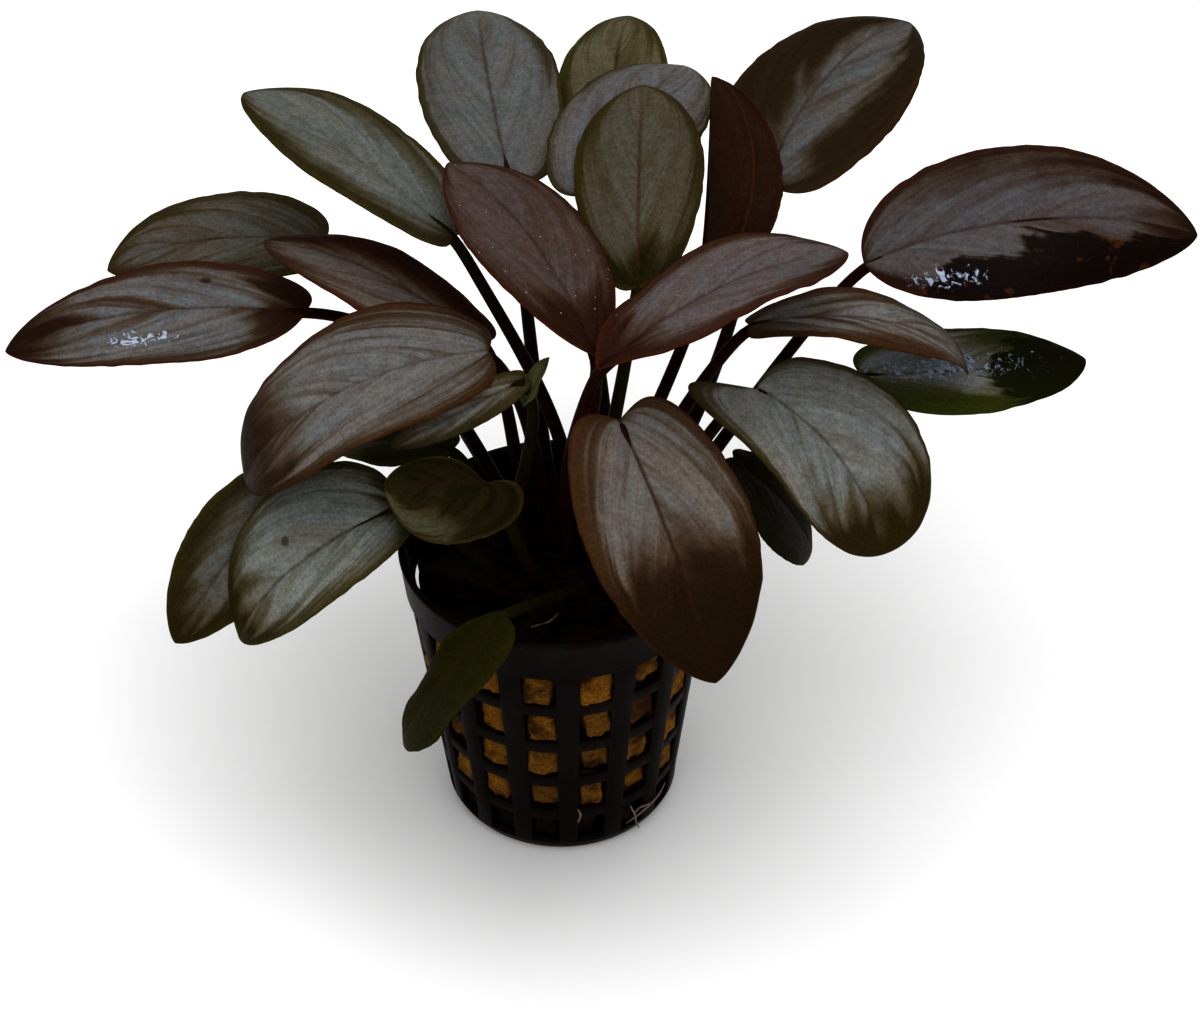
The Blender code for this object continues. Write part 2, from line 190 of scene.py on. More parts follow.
LEAVES = (
    Leaf(
        "leaf_far_left", (2, 6), (-43, 24, 86), (-95, 24, 78), 22,
        roll=-12, swing=8, lobe=0.025, lobe_lean=0.03, lean=-0.08, bow=(-1, 14, 5), skin="red",
        look={
            "Bloom And Sheen": 1.0, "Bloom Side": -0.18, "Bloom Spread": 1.3, "Bloom Start": 0.13,
            "Bloom End": 0.82, "Silver": (0.16, 0.158, 0.158), "Rim Width": 1.4, "Streaks": 1.0,
            "Drops And Painted Glints": 1.0, "Drops Along": 0.52, "Drops Across": 0.24, "Drops Length": 0.13,
            "Spot Along": 0.33, "Spot Across": 0.78, "Body": (0.023, 0.0105, 0.0045),
        },
    ),
    Leaf(
        "leaf_left_back", (3, 6), (-41.4, 44, 86), (-79, 42, 82), 21,
        roll=-10, swing=14, skin="olive",
        look={
            "Bloom And Sheen": 0.85, "Streaks": 0.9, "Rim Width": 1.8, "Bloom Spread": 1.25, "Bloom End": 1.2,
            "Silver": (0.13, 0.122, 0.11),
        },
    ),
    Leaf(
        "leaf_left_brown", (2, 5), (-12, 12.3, 88.3), (-50, 32.8, 94.6), 16.5,
        rise=20, droop=24, lean=-0.15, skin="red",
        look={
            "Bloom And Sheen": 1.0, "Bloom Spread": 0.85, "Bloom Side": -0.5, "Bloom End": 1.4, "Streaks": 0.4,
            "Rim Width": 1.8, "Silver": (0.14, 0.118, 0.104),
        },
    ),
    Leaf(
        "leaf_left_broad", (1, 3), (-11, 1, 95), (-52, -3, 70.5), 28,
        roll=-10, rise=31, droop=48, swing=4, point=0.58, lean=0.03, ruffle=2.3,
        look={
            "Bloom And Sheen": 1.0, "Bloom Spread": 1.2, "Bloom End": 0.7, "Silver": (0.176, 0.178, 0.178),
            "Streaks": 1.0, "Rim Width": 1.6, "Midrib": 0.3, "Tip Start": 0.75,
        },
    ),
    Leaf(
        "leaf_left_folded", (2, 7), (-5, -4, 93), (-27.5, -4, 79), 6.8,
        roll=-60, rise=24, skin="olive",
        look={"Bloom And Sheen": 1.0, "Bloom Spread": 1.5, "Bloom End": 1.2, "Silver": (0.24, 0.236, 0.216)},
    ),
    Leaf(
        "leaf_low_left_dark", (3, 8), (-45, 5, 65.6), (-65, -15, 45.6), 17.5,
        roll=-20, rise=20, droop=24, skin="olive",
        look={"Bloom And Sheen": 0.75, "Bloom Spread": 0.75},
    ),
    Leaf(
        "leaf_low_left_broad", (3, 9), (-26, -10.4, 71.3), (-53.5, -18, 49), 26,
        roll=-16, rise=36, droop=42, lean=0.2, skin="green",
        look={
            "Bloom And Sheen": 1.0, "Bloom Spread": 1.4, "Bloom End": 0.76, "Silver": (0.245, 0.258, 0.236),
            "Rim Width": 1.4, "Streaks": 0.5, "Spot Along": 0.5, "Spot Across": 0.66,
            "Bloom Start": 0.05,
        },
    ),
    Leaf(
        "leaf_left_under", (3, 7), (-18, 8.1, 68.6), (-38, 17.1, 61.6), 13,
        skin="green",
        look={"Bloom And Sheen": 0.05, "Body": (0.02, 0.0185, 0.0016)},
    ),
    Leaf(
        "leaf_small_heart", (2, 8), (-12.2, -11.8, 77.4), (-28, -14.8, 79.5), 15,
        roll=-37, lobe=0.265, lobe_lean=-0.26, hook=0.8, point=0.6, lean=-0.4, skin="green",
        look={
            "Bloom And Sheen": 0.6, "Bloom Start": 0.4, "Bloom End": 1.4, "Body": (0.0125, 0.011, 0.0016),
            "Rim Width": 0.4, "Rim": (0.06, 0.04, 0.012), "Streaks": 0.3, "Bloom Side": -0.78,
            "Bloom Spread": 0.32, "Silver": (0.13, 0.136, 0.088),
        },
    ),
    Leaf(
        "leaf_upper_left_long", (1, 2), (-17, 21, 104), (-54.2, 57, 109), 20,
        swing=-4, heel=0.6, point=0.68, lean=0.12, skin="olive",
        look={
            "Bloom And Sheen": 0.98, "Bloom Spread": 0.95, "Bloom End": 1.1, "Silver": (0.146, 0.157, 0.146),
            "Rim Width": 1.4, "Streaks": 0.35, "Midrib": 0.2, "Bloom Side": 0.1,
        },
    ),
    Leaf(
        "leaf_top_left_round", (2, 4), (-8, 40, 102), (-15, 98.3, 100), 25.5,
        swing=-4, skin="olive",
        look={
            "Bloom And Sheen": 1.0, "Bloom Spread": 1.25, "Bloom End": 1.1, "Silver": (0.134, 0.137, 0.136),
            "Rim Width": 1.2, "Streaks": 0.3, "Midrib": 0.6,
        },
    ),
    Leaf(
        "leaf_top_centre", (2, 3), (10, 45, 99), (13, 97.8, 99), 20,
        swing=-6, skin="green",
        look={
            "Bloom And Sheen": 0.82, "Bloom Spread": 1.25, "Rim Width": 1.7, "Midrib": 0.8, "Bloom End": 1.2,
            "Silver": (0.15, 0.138, 0.088),
        },
    ),
    Leaf(
        "leaf_top_grey", (1, 1), (5.2, 29, 106.1), (22.7, 73.3, 103.6), 25,
        skin="olive",
        look={
            "Bloom And Sheen": 0.95, "Bloom Spread": 1.3, "Bloom End": 1.3, "Silver": (0.1445, 0.1394, 0.1478),
            "Rim Width": 0.6,
        },
    ),
    Leaf(
        "leaf_centre_upright", (0, 0), (13.5, 9.4, 101.8), (15, 57.4, 109.8), 22,
        heel=0.7, skin="green",
        look={
            "Bloom And Sheen": 0.72, "Bloom Spread": 1.3, "Bloom End": 1.5, "Rim Width": 1.4, "Midrib": 0.65,
            "Rib": (0.05, 0.015, 0.009), "Tip": (0.03, 0.024, 0.003), "Bloom Start": 0.12,
            "Rim": (0.036, 0.028, 0.003), "Silver": (0.128, 0.118, 0.092), "Streaks": 0.5,
        },
    ),
    Leaf(
        "leaf_centre_left_red", (0, 1), (6.8, -6.3, 99.2), (-18, 31.7, 111.2), 23,
        roll=10, swing=8, lobe=0.0, heel=0.85, point=0.8, skin="red",
        look={
            "Bloom And Sheen": 0.8, "Bloom Spread": 1.25, "Bloom Start": 0.22, "Bloom End": 1.6, "Specks": 1.0,
            "Rim Width": 0.9, "Silver": (0.112, 0.088, 0.082), "Streaks": 0.5,
            "Body": (0.022, 0.007, 0.003),
        },
    ),
    Leaf(
        "leaf_centre_right_red", (0, 2), (6.8, -14.6, 103), (48, 13.1, 105.6), 21.5,
        swing=-8, lobe=0.0, heel=0.8, point=0.68, lean=-0.1, skin="red", ruffle=2.2,
        look={
            "Bloom And Sheen": 0.95, "Bloom Spread": 1.2, "Bloom Start": 0.2, "Bloom End": 1.5, "Specks": 0.5,
            "Rim Width": 1.6, "Silver": (0.136, 0.12, 0.122), "Streaks": 0.4,
        },
    ),
    Leaf(
        "leaf_rolled", (2, 2), (25.6, 28.7, 89.9), (26.8, 53.2, 114.1), 23,
        roll=80, rise=0, droop=0, fold=52, curl=25, lobe=0.0, point=0.6, lean=0.13, skin="red",
        look={
            "Bloom And Sheen": 0.45, "Rim Width": 0.8, "Body": (0.02, 0.0066, 0.0018),
            "Rim": (0.05, 0.014, 0.003), "Bloom Spread": 1.4, "Bloom End": 1.4,
            "Silver": (0.066, 0.034, 0.02),
        },
    ),
    Leaf(
        "leaf_top_right", (2, 1), (36, 43.4, 98.2), (64.2, 91.4, 101.2), 31,
        swing=-14, lean=0.1, bow=(4, 4, 0),
        look={
            "Bloom And Sheen": 0.9, "Bloom Spread": 0.48, "Bloom Side": 0.14, "Bloom End": 1.2, "Streaks": 0.6,
            "Rim Width": 1.8, "Silver": (0.136, 0.136, 0.139), "Body": (0.018, 0.0098, 0.0018),
            "Rim": (0.036, 0.0175, 0.003),
        },
    ),
    Leaf(
        "leaf_far_right", (2, 0), (51.5, 19, 99), (109, 31, 96), 28,
        roll=28, rise=20, swing=-14, lobe=0, bow=(0, 8, -8), skin="red",
        look={
            "Bloom And Sheen": 0.95, "Bloom Side": 0.0, "Bloom Spread": 0.95, "Bloom End": 0.85,
            "Silver": (0.116, 0.106, 0.108), "Streaks": 0.5, "Rim Width": 1.6, "Wet": 1.0,
            "Wet Along": 0.68, "Wet Across": 0.98, "Wet Length": 0.6, "Wet Depth": 0.42, "Drops And Painted Glints": 1.0,
            "Drops Along": 0.2, "Drops Across": 0.84, "Drops Length": 0.12, "Flecks": 1.0,
            "Body": (0.0135, 0.0042, 0.0016), "Rim": (0.04, 0.0098, 0.0022),
        },
    ),
    Leaf(
        "leaf_right_arched", (1, 0), (32, 7, 95.5), (69, 10, 83), 14,
        rise=32, droop=52, point=0.6, ruffle=1.8,
        look={
            "Bloom And Sheen": 0.9, "Bloom Spread": 1.25, "Streaks": 1.2, "Bloom End": 1.3,
            "Silver": (0.215, 0.208, 0.205),
        },
    ),
    Leaf(
        "leaf_right_wet", (3, 0), (51, 11, 82), (91, 24, 75), 19.5,
        roll=12, rise=4, droop=10, swing=10, bow=(0, 6, -4), skin="green",
        look={
            "Bloom And Sheen": 0.9, "Bloom Spread": 0.9, "Bloom Side": -0.25, "Bloom Start": -0.2,
            "Bloom End": 0.56, "Silver": (0.26, 0.29, 0.31), "Streaks": 0.7,
            "Body": (0.034, 0.042, 0.0036), "Rim": (0.036, 0.042, 0.005), "Wet": 1.0, "Wet Along": 0.95,
            "Wet Across": 0.6, "Wet Length": 0.45, "Wet Depth": 0.8, "Drops And Painted Glints": 1.0, "Drops Along": 0.34,
            "Drops Across": 0.45, "Drops Length": 0.36,
        },
    ),
    Leaf(
        "leaf_right_broad", (2, 12), (33, 1, 87), (53, -16, 65), 28.7,
        rise=20, droop=32, swing=-20, lobe=0.19, lobe_lean=0.17, point=0.5, lean=-0.13, skin="olive",
        look={
            "Bloom And Sheen": 1.0, "Bloom Spread": 1.4, "Bloom End": 0.74, "Silver": (0.226, 0.231, 0.222),
            "Rim Width": 1.1, "Streaks": 0.5, "Tip Start": 0.65,
        },
    ),
    Leaf(
        "leaf_right_under", (3, 15), (29.5, -2, 74.5), (43, -4, 56), 18,
        point=0.6, lean=0.35, skin="green",
        look={
            "Bloom And Sheen": 0.0, "Body": (0.011, 0.0092, 0.0008), "Rim": (0.016, 0.0135, 0.0014),
            "Bloom Side": -0.5, "Bloom Spread": 1.0, "Bloom End": 0.42, "Silver": (0.12, 0.1, 0.05),
        },
    ),
    Leaf(
        "leaf_front_broad", (2, 11), (10.3, -14.9, 93.2), (25.2, -47.6, 65.9), 28.6,
        lobe=0.1, lean=-0.04,
        look={
            "Bloom And Sheen": 0.98, "Bloom Spread": 1.3, "Bloom End": 0.52, "Silver": (0.17, 0.158, 0.148),
            "Streaks": 0.8, "Rim Width": 2.2, "Tip Start": 0.55, "Midrib": 0.8,
            "Tip": (0.018, 0.0085, 0.0014), "Rim Side": 0.6,
        },
    ),
    Leaf(
        "leaf_front_small", (2, 10), (-9, -26, 61), (-26, -31, 37), 15,
        roll=-10, rise=20, droop=30, swing=-10, lean=-0.3, bow=(-3, -0.3, -2), skin="green", ruffle=2.6,
        look={"Bloom And Sheen": 0.0, "Body": (0.0165, 0.0158, 0.001), "Rim": (0.026, 0.0225, 0.0016)},
    ),
    Leaf(
        "leaf_on_wool", (3, 10), (-10, -9, 51), (-24, -1, 51), 11,
        rise=4, droop=6, fold=4,
        look={
            "Bloom And Sheen": 0.8, "Body": (0.0035, 0.0014, 0.0006), "Rim": (0.005, 0.0018, 0.0007),
            "Tip": (0.003, 0.0015, 0.0006), "Bloom Side": 0.6, "Bloom Spread": 0.9, "Bloom End": 1.4,
            "Silver": (0.034, 0.014, 0.0066),
        },
    ),
)

# A small lobe that is turned up at the base of one leaf, shaped as a blade of its own
EARS = {
    "leaf_left_folded": Leaf(
        "ear", (2, 7), (-5.4, -5.4, 88.6), (-1, -4, 97.4), 5.6,
        rise=-6, droop=-12, fold=20, curl=8, lobe=0.0, point=0.8, skin="green",
        look={"Bloom And Sheen": 0.0, "Body": (0.075, 0.080, 0.030), "Rim": (0.070, 0.072, 0.020), "Rim Width": 0.6},
    ),
}

# Roots that show: a radius, then a row of points for each strand, in millimetres
ROOTS = {
    "root_on_wool": (
        0.26,
        (
            (5.2, -6.9, 51.8), (3.0, -9.9, 51.2), (0.3, -13.2, 50.5), (-1.6, -15.6, 50.4),
            (-4.7, -16.9, 50.3),
        ),
    ),
    "root_in_window": (
        0.22,
        ((12.1, -17.9, 9.0), (12.9, -16.8, 5.7), (13.2, -16.0, 3.0), (13.7, -15.3, 0.9)),
        ((16.4, -13.2, 5.3), (14.9, -15.1, 6.3), (13.7, -16.3, 6.8), (12.7, -17.0, 5.9)),
        (
            (18.4, -10.9, 7.7), (17.2, -12.5, 6.3), (15.5, -14.4, 5.6), (13.7, -16.0, 5.0),
            (11.4, -17.6, 4.3),
        ),
        ((2.9, -21.8, 12.1), (3.4, -21.5, 10.3), (2.9, -21.3, 8.2)),
    ),
}

# Usual look of each skin. Colours are linear.
SKINS = {
    "red": {
        "Body": (0.024, 0.0072, 0.0022), "Silver": (0.150, 0.134, 0.132), "Tip": (0.020, 0.007, 0.003),
        "Rim": (0.052, 0.0120, 0.0025), "Rib": (0.030, 0.008, 0.003), "Under": (0.075, 0.020, 0.006),
        "Stalk Foot": (0.0075, 0.0012, 0.0006), "Stalk Top": (0.0125, 0.0022, 0.0010), "Reflection": 0.03,
    },
    "brown": {
        "Body": (0.028, 0.0115, 0.0030), "Silver": (0.176, 0.172, 0.170), "Tip": (0.016, 0.008, 0.002),
        "Rim": (0.052, 0.0180, 0.0035), "Rib": (0.034, 0.010, 0.004), "Under": (0.060, 0.025, 0.008),
        "Stalk Foot": (0.0075, 0.0012, 0.0006), "Stalk Top": (0.0125, 0.0022, 0.0010), "Reflection": 0.03,
    },
    "olive": {
        "Body": (0.020, 0.0155, 0.0026), "Silver": (0.160, 0.165, 0.158), "Tip": (0.030, 0.019, 0.002),
        "Rim": (0.042, 0.0320, 0.005), "Rib": (0.034, 0.016, 0.008), "Under": (0.048, 0.044, 0.014),
        "Stalk Foot": (0.0070, 0.0026, 0.0008), "Stalk Top": (0.0105, 0.0064, 0.0010), "Reflection": 0.025,
    },
    "green": {
        "Body": (0.012, 0.0115, 0.0012), "Silver": (0.166, 0.173, 0.156), "Tip": (0.030, 0.024, 0.003),
        "Rim": (0.048, 0.0420, 0.005), "Rib": (0.036, 0.014, 0.007), "Under": (0.040, 0.046, 0.012),
        "Stalk Foot": (0.0085, 0.0060, 0.0010), "Stalk Top": (0.0120, 0.0105, 0.0008), "Reflection": 0.01,
    },
}


class PotSettings(bpy.types.PropertyGroup):
    wall: FloatProperty(
        name="Wall", description="Thickness of the pot's wall", default=0.0012, unit="LENGTH", min=0.0005
    )
    corner: FloatProperty(
        name="Corner", description="Rounding of the window edges", default=0.00022, unit="LENGTH", min=0.0
    )
    bar_sink: FloatProperty(
        name="Bar sink", description="How far the level bars lie behind the ribs", default=0.0003,
        unit="LENGTH",
    )
    colour: FloatVectorProperty(
        name="Plastic", description="Colour of the moulded plastic", subtype="COLOR",
        default=(0.0080, 0.0050, 0.0045),
    )


class WoolSettings(bpy.types.PropertyGroup):
    sink: FloatProperty(
        name="Sink", description="How far the cubes lie behind the pot's face", default=0.0007,
        unit="LENGTH",
    )
    colour: FloatVectorProperty(
        name="Wool", description="Colour of the rock wool", subtype="COLOR", default=(0.250, 0.108, 0.0045)
    )
    # Also the colour of the painted shade on the core behind the cubes.
    stain_and_shade: FloatVectorProperty(
        name="Stain", description="Colour of the wet and dirty wool", subtype="COLOR",
        default=(0.006, 0.0026, 0.0012),
    )


class LeafSettings(bpy.types.PropertyGroup):
    steps_along: IntProperty(
        name="Steps along", description="Faces from a blade's base to its tip", default=84, min=20
    )
    steps_across: IntProperty(
        name="Steps across", description="Faces from one margin to the other", default=40, min=8
    )
    thickness: FloatProperty(
        name="Thickness", description="Thickness of a blade beside its midrib", default=0.00046,
        unit="LENGTH",
    )
    pleat: FloatProperty(
        name="Pleat", description="Height of the folds between the veins", default=0.00003, unit="LENGTH"
    )
    groove: FloatProperty(
        name="Groove", description="Depth of the groove over the midrib", default=0.00022, unit="LENGTH"
    )
    wave: FloatProperty(
        name="Wave", description="Height of the waves along a margin", default=0.0004, unit="LENGTH"
    )
    veins: IntProperty(name="Veins", description="Veins on each side of the midrib", default=6, min=1)


class StageSettings(bpy.types.PropertyGroup):
    table: FloatVectorProperty(
        name="Table", description="Colour of the table", subtype="COLOR", default=(0.85, 0.85, 0.85)
    )
    key: FloatProperty(
        name="Key", description="Power of the soft light overhead", default=9.0, unit="POWER"
    )
    sky: FloatProperty(
        name="Sky", description="Strength of the light from all round", default=0.85, min=0.0
    )
    contrast: FloatProperty(
        name="Contrast", description="Display gamma, below 1 for deeper darks", default=0.8, min=0.5,
        max=1.5,
    )
    lens: FloatProperty(name="Lens", description="Camera's focal length in millimetres", default=100.0)
    tilt: FloatProperty(
        name="Tilt", description="How far the camera looks down", subtype="ANGLE", default=radians(40.0)
    )


def round_axis(radius, turn, z):
    """The point at a radius and an angle round the pot's axis."""
    return Vector((radius * cos(turn), radius * sin(turn), z))


def square_to(vector, axis):
    """The part of vector that is square to axis, as a unit vector."""
    return (vector - axis * vector.dot(axis)).normalized()


def bezier(knots, t):
    """Point and direction on a cubic Bezier curve."""
    a, b, c, d = knots
    s = 1.0 - t
    point = a * s**3 + b * 3 * t * s**2 + c * 3 * t**2 * s + d * t**3
    way = (b - a) * s**2 + (c - b) * 2 * t * s + (d - c) * t**2
    return point, way.normalized()


def deselect():
    bpy.ops.object.select_all(action="DESELECT")


def named(name):
    """The active piece, given its name."""
    piece = bpy.context.object
    piece.name = piece.data.name = name
    return piece


def make_active(piece):
    deselect()
    piece.select_set(True)
    bpy.context.view_layer.objects.active = piece


def apply_modifier(piece, name, kind, **settings):
    """Puts a modifier on a piece and applies it."""
    make_active(piece)
    modifier = piece.modifiers.new(name, kind)
    for setting, value in settings.items():
        setattr(modifier, setting, value)
    bpy.ops.object.modifier_apply(modifier=modifier.name)


def edit(piece, *steps):
    """Runs edit-mode steps on a whole piece."""
    make_active(piece)
    bpy.ops.object.mode_set(mode="EDIT")
    bpy.ops.mesh.select_all(action="SELECT")
    for step in steps:
        step()
    bpy.ops.object.mode_set(mode="OBJECT")


def weld():
    bpy.ops.mesh.remove_doubles(threshold=1e-6)


def turn_outwards():
    bpy.ops.mesh.normals_make_consistent(inside=False)


def close_ends():
    bpy.ops.mesh.fill_holes(sides=0)


def face_outwards(shell):
    """Turns an open shell round the axis so that its faces point away from the inside."""
    edit(shell, turn_outwards)
    widest = max(shell.data.polygons, key=lambda face: face.center.xy.length)
    if widest.normal.xy.dot(widest.center.xy) < 0.0:
        edit(shell, bpy.ops.mesh.flip_normals)


def cut_away(piece, is_hole):
    """Deletes the faces whose middle, in millimetres, is in a hole."""
    make_active(piece)
    bpy.ops.object.mode_set(mode="EDIT")
    bpy.ops.mesh.select_mode(type="FACE")
    bpy.ops.mesh.select_all(action="DESELECT")
    bpy.ops.object.mode_set(mode="OBJECT")
    for face in piece.data.polygons:
        face.select = is_hole(face.center / MM)
    bpy.ops.object.mode_set(mode="EDIT")
    bpy.ops.mesh.delete(type="FACE")
    bpy.ops.object.mode_set(mode="OBJECT")


def shaped_grid(name, along, across, place):
    """A grid of faces with each corner moved to place(u, v) in millimetres, where both run from 0 to 1."""
    deselect()
    bpy.ops.mesh.primitive_grid_add(x_subdivisions=along, y_subdivisions=across, size=1.0)
    piece = named(name)
    for corner in piece.data.vertices:
        corner.co = place(corner.co.x + 0.5, corner.co.y + 0.5) * MM
    return piece


def joined(pieces, name):
    """Joins pieces into one smooth piece with a new name."""
    deselect()
    for piece in pieces:
        piece.select_set(True)
    bpy.context.view_layer.objects.active = pieces[0]
    bpy.ops.object.join()
    bpy.ops.object.shade_smooth()
    return named(name)


def tube(name, points, radii, sides):
    """A round tube through points in millimetres, closed at both ends."""
    before, after = points[:1] + points[:-1], points[1:] + points[-1:]
    ways = [(b - a).normalized() for a, b in zip(before, after)]
    rights = [ways[0].orthogonal().normalized()]
    for way in ways[1:]:
        rights.append(square_to(rights[-1], way))
    last = len(points) - 1

    def place(u, v):
        step = round(u * last)
        up = ways[step].cross(rights[step])
        turn = 2 * pi * v
        return points[step] + (rights[step] * cos(turn) + up * sin(turn)) * radii[step]

    piece = shaped_grid(name, last, sides, place)
    edit(piece, weld, close_ends, turn_outwards)
    return piece


def mark(piece, name, values):
    """Gives each corner of a piece a number that its material reads."""
    piece.data.attributes.new(name, "FLOAT", "POINT").data.foreach_set("value", values)


def give(piece, *materials):
    piece.data.materials.clear()
    for made in materials:
        piece.data.materials.append(made)


def settle(piece, slot, *nodes):
    """The piece rides on the part and stands for these solids."""
    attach(piece, BODY)
    if nodes:
        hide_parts(*nodes)


class Web:
    """Adds nodes to one tree. An input is a number, a colour or another node's output."""

    def __init__(self, tree):
        self.tree = tree

    def node(self, kind, inputs=None, **settings):
        node = self.tree.nodes.new(kind)
        node.location = (200 * len(self.tree.nodes), 0)
        for setting, value in settings.items():
            setattr(node, setting, value)
        for socket, value in (inputs or {}).items():
            self.feed(node.inputs[socket], value)
        return node

    def feed(self, socket, value):
        if isinstance(value, bpy.types.NodeSocket):
            self.tree.links.new(value, socket)
        elif socket.type == "RGBA" and len(value) == 3:
            socket.default_value = (*value, 1.0)
        else:
            socket.default_value = value

    def maths(self, operation, *values, clamp=False):
        node = self.node("ShaderNodeMath", dict(enumerate(values)), operation=operation, use_clamp=clamp)
        return node.outputs[0]

    def times(self, first, second, clamp=False):
        return self.maths("MULTIPLY", first, second, clamp=clamp)

    def sloped(self, value, slope, start):
        """Start plus slope times value."""
        return self.maths("MULTIPLY_ADD", value, slope, start)

    def ramp(self, value, low, high, start=0.0, end=1.0):
        """Rises smoothly from start to end while value goes from low to high."""
        inputs = {0: value, 1: low, 2: high, 3: start, 4: end}
        return self.node("ShaderNodeMapRange", inputs, interpolation_type="SMOOTHSTEP").outputs[0]

    def mix(self, factor, first, second, way="MIX"):
        inputs = {0: factor, 6: first, 7: second}
        return self.node("ShaderNodeMix", inputs, data_type="RGBA", blend_type=way).outputs[2]

    def vector(self, x, y, z):
        return self.node("ShaderNodeCombineXYZ", {0: x, 1: y, 2: z}).outputs[0]

    def scaled(self, vector, factors):
        return self.node("ShaderNodeVectorMath", {0: vector, 1: factors}, operation="MULTIPLY").outputs[0]

    def grain(self, vector, scale, detail=3.0, rough=0.5, warp=0.0):
        inputs = {"Vector": vector, "Scale": scale, "Detail": detail, "Roughness": rough}
        return self.node("ShaderNodeTexNoise", {**inputs, "Distortion": warp}).outputs[0]

    def ellipse(self, spot, middle, radii):
        """Distance from the middle of an ellipse, which is 1 on its edge."""
        parts = zip(spot, middle, radii)
        x, y = (self.maths("DIVIDE", self.maths("SUBTRACT", a, b), c) for a, b, c in parts)
        inputs = {0: self.vector(x, y, 0.0)}
        return self.node("ShaderNodeVectorMath", inputs, operation="LENGTH").outputs["Value"]

    def place(self):
        return self.node("ShaderNodeTexCoord").outputs["Object"]

    def parts(self, vector):
        return self.node("ShaderNodeSeparateXYZ", {0: vector}).outputs

    def along_across(self):
        """The two coordinates of the piece's own UV map."""
        return self.parts(self.node("ShaderNodeTexCoord").outputs["UV"])[:2]

    def veined(self, veins):
        """Where a point lies on a leaf, and a wave with its crests on the veins.

        Side runs from -1 to 1 across the blade and reach from 0 at the midrib to 1. A vein keeps one value
        of vein along its whole way from midrib to margin.
        """
        along, across = self.along_across()
        side = self.sloped(across, 2.0, -1.0)
        reach = self.maths("ABSOLUTE", side)
        hug = self.maths("LOGARITHM", self.sloped(reach, -VEIN_HUG, 1.0), exp(1.0))
        vein = self.sloped(hug, VEIN_SWEEP, along)
        return along, across, side, reach, vein, self.maths("COSINE", self.times(vein, 2 * pi * veins))

    def attribute(self, name):
        return self.node("ShaderNodeAttribute", attribute_name=name).outputs["Fac"]


def new_group(name, inputs, outputs):
    """An empty shader group with its named sockets."""
    tree = bpy.data.node_groups.new(name, "ShaderNodeTree")
    for label, value in inputs.items():
        kind = "NodeSocketColor" if isinstance(value, tuple) else "NodeSocketFloat"
        socket = tree.interface.new_socket(label, in_out="INPUT", socket_type=kind)
        socket.default_value = (*value, 1.0) if isinstance(value, tuple) else value
    for label, kind in outputs.items():
        tree.interface.new_socket(label, in_out="OUTPUT", socket_type=kind)
    web = Web(tree)
    return web, web.node("NodeGroupInput").outputs, web.node("NodeGroupOutput").inputs


def new_material(name):
    """A material with its web, and its Principled shader joined to the output."""
    made = bpy.data.materials.new(name)
    made.use_nodes = True
    made.node_tree.nodes.clear()
    web = Web(made.node_tree)
    shader = web.node("ShaderNodeBsdfPrincipled")
    web.node("ShaderNodeOutputMaterial", {0: shader.outputs[0]})
    return made, web, shader.inputs


def surface(web, shader, colour, rough, relief, reflection):
    """Feeds a shader. Relief is the height, its depth in metres and its strength."""
    web.feed(shader["Base Color"], colour)
    web.feed(shader["Roughness"], rough)
    height, depth, strength = relief
    inputs = {"Height": height, "Distance": depth, "Strength": strength}
    web.feed(shader["Normal"], web.node("ShaderNodeBump", inputs).outputs[0])
    shader["Specular IOR Level"].default_value = reflection


COLOUR_AND_RELIEF = {
    "Colour": "NodeSocketColor",
    "Roughness": "NodeSocketFloat",
    "Coat": "NodeSocketFloat",
    "Height": "NodeSocketFloat",
}

# Bloom and Silver paint the leaf's silver bloom together with a painted sheen. Tip is partly painted shade.
# The drops' pale colour is a painted glint.
LEAF_INPUTS = {
    "Body": (0.02, 0.01, 0.005),
    "Silver": (0.09, 0.09, 0.09),
    "Rim": (0.05, 0.02, 0.01),
    "Rib": (0.03, 0.02, 0.01),
    "Tip": (0.01, 0.005, 0.002),
    "Bloom And Sheen": 0.8,
    "Bloom Side": 0.0,
    "Bloom Spread": 0.8,
    "Bloom Start": -0.2,
    "Bloom End": 0.8,
    "Tip Start": 0.75,
    "Streaks": 0.6,
    "Rim Width": 2.0,
    "Rim Side": 0.0,
    "Midrib": 0.5,
    "Specks": 0.0,
    "Flecks": 0.0,
    "Wet": 0.0,
    "Wet Along": 0.5,
    "Wet Across": 0.5,
    "Wet Length": 0.25,
    "Wet Depth": 0.25,
    "Drops And Painted Glints": 0.0,
    "Drops Along": 0.5,
    "Drops Across": 0.5,
    "Drops Length": 0.1,
    "Spot Along": -1.0,
    "Spot Across": 0.5,
    "Seed": 0.0,
}


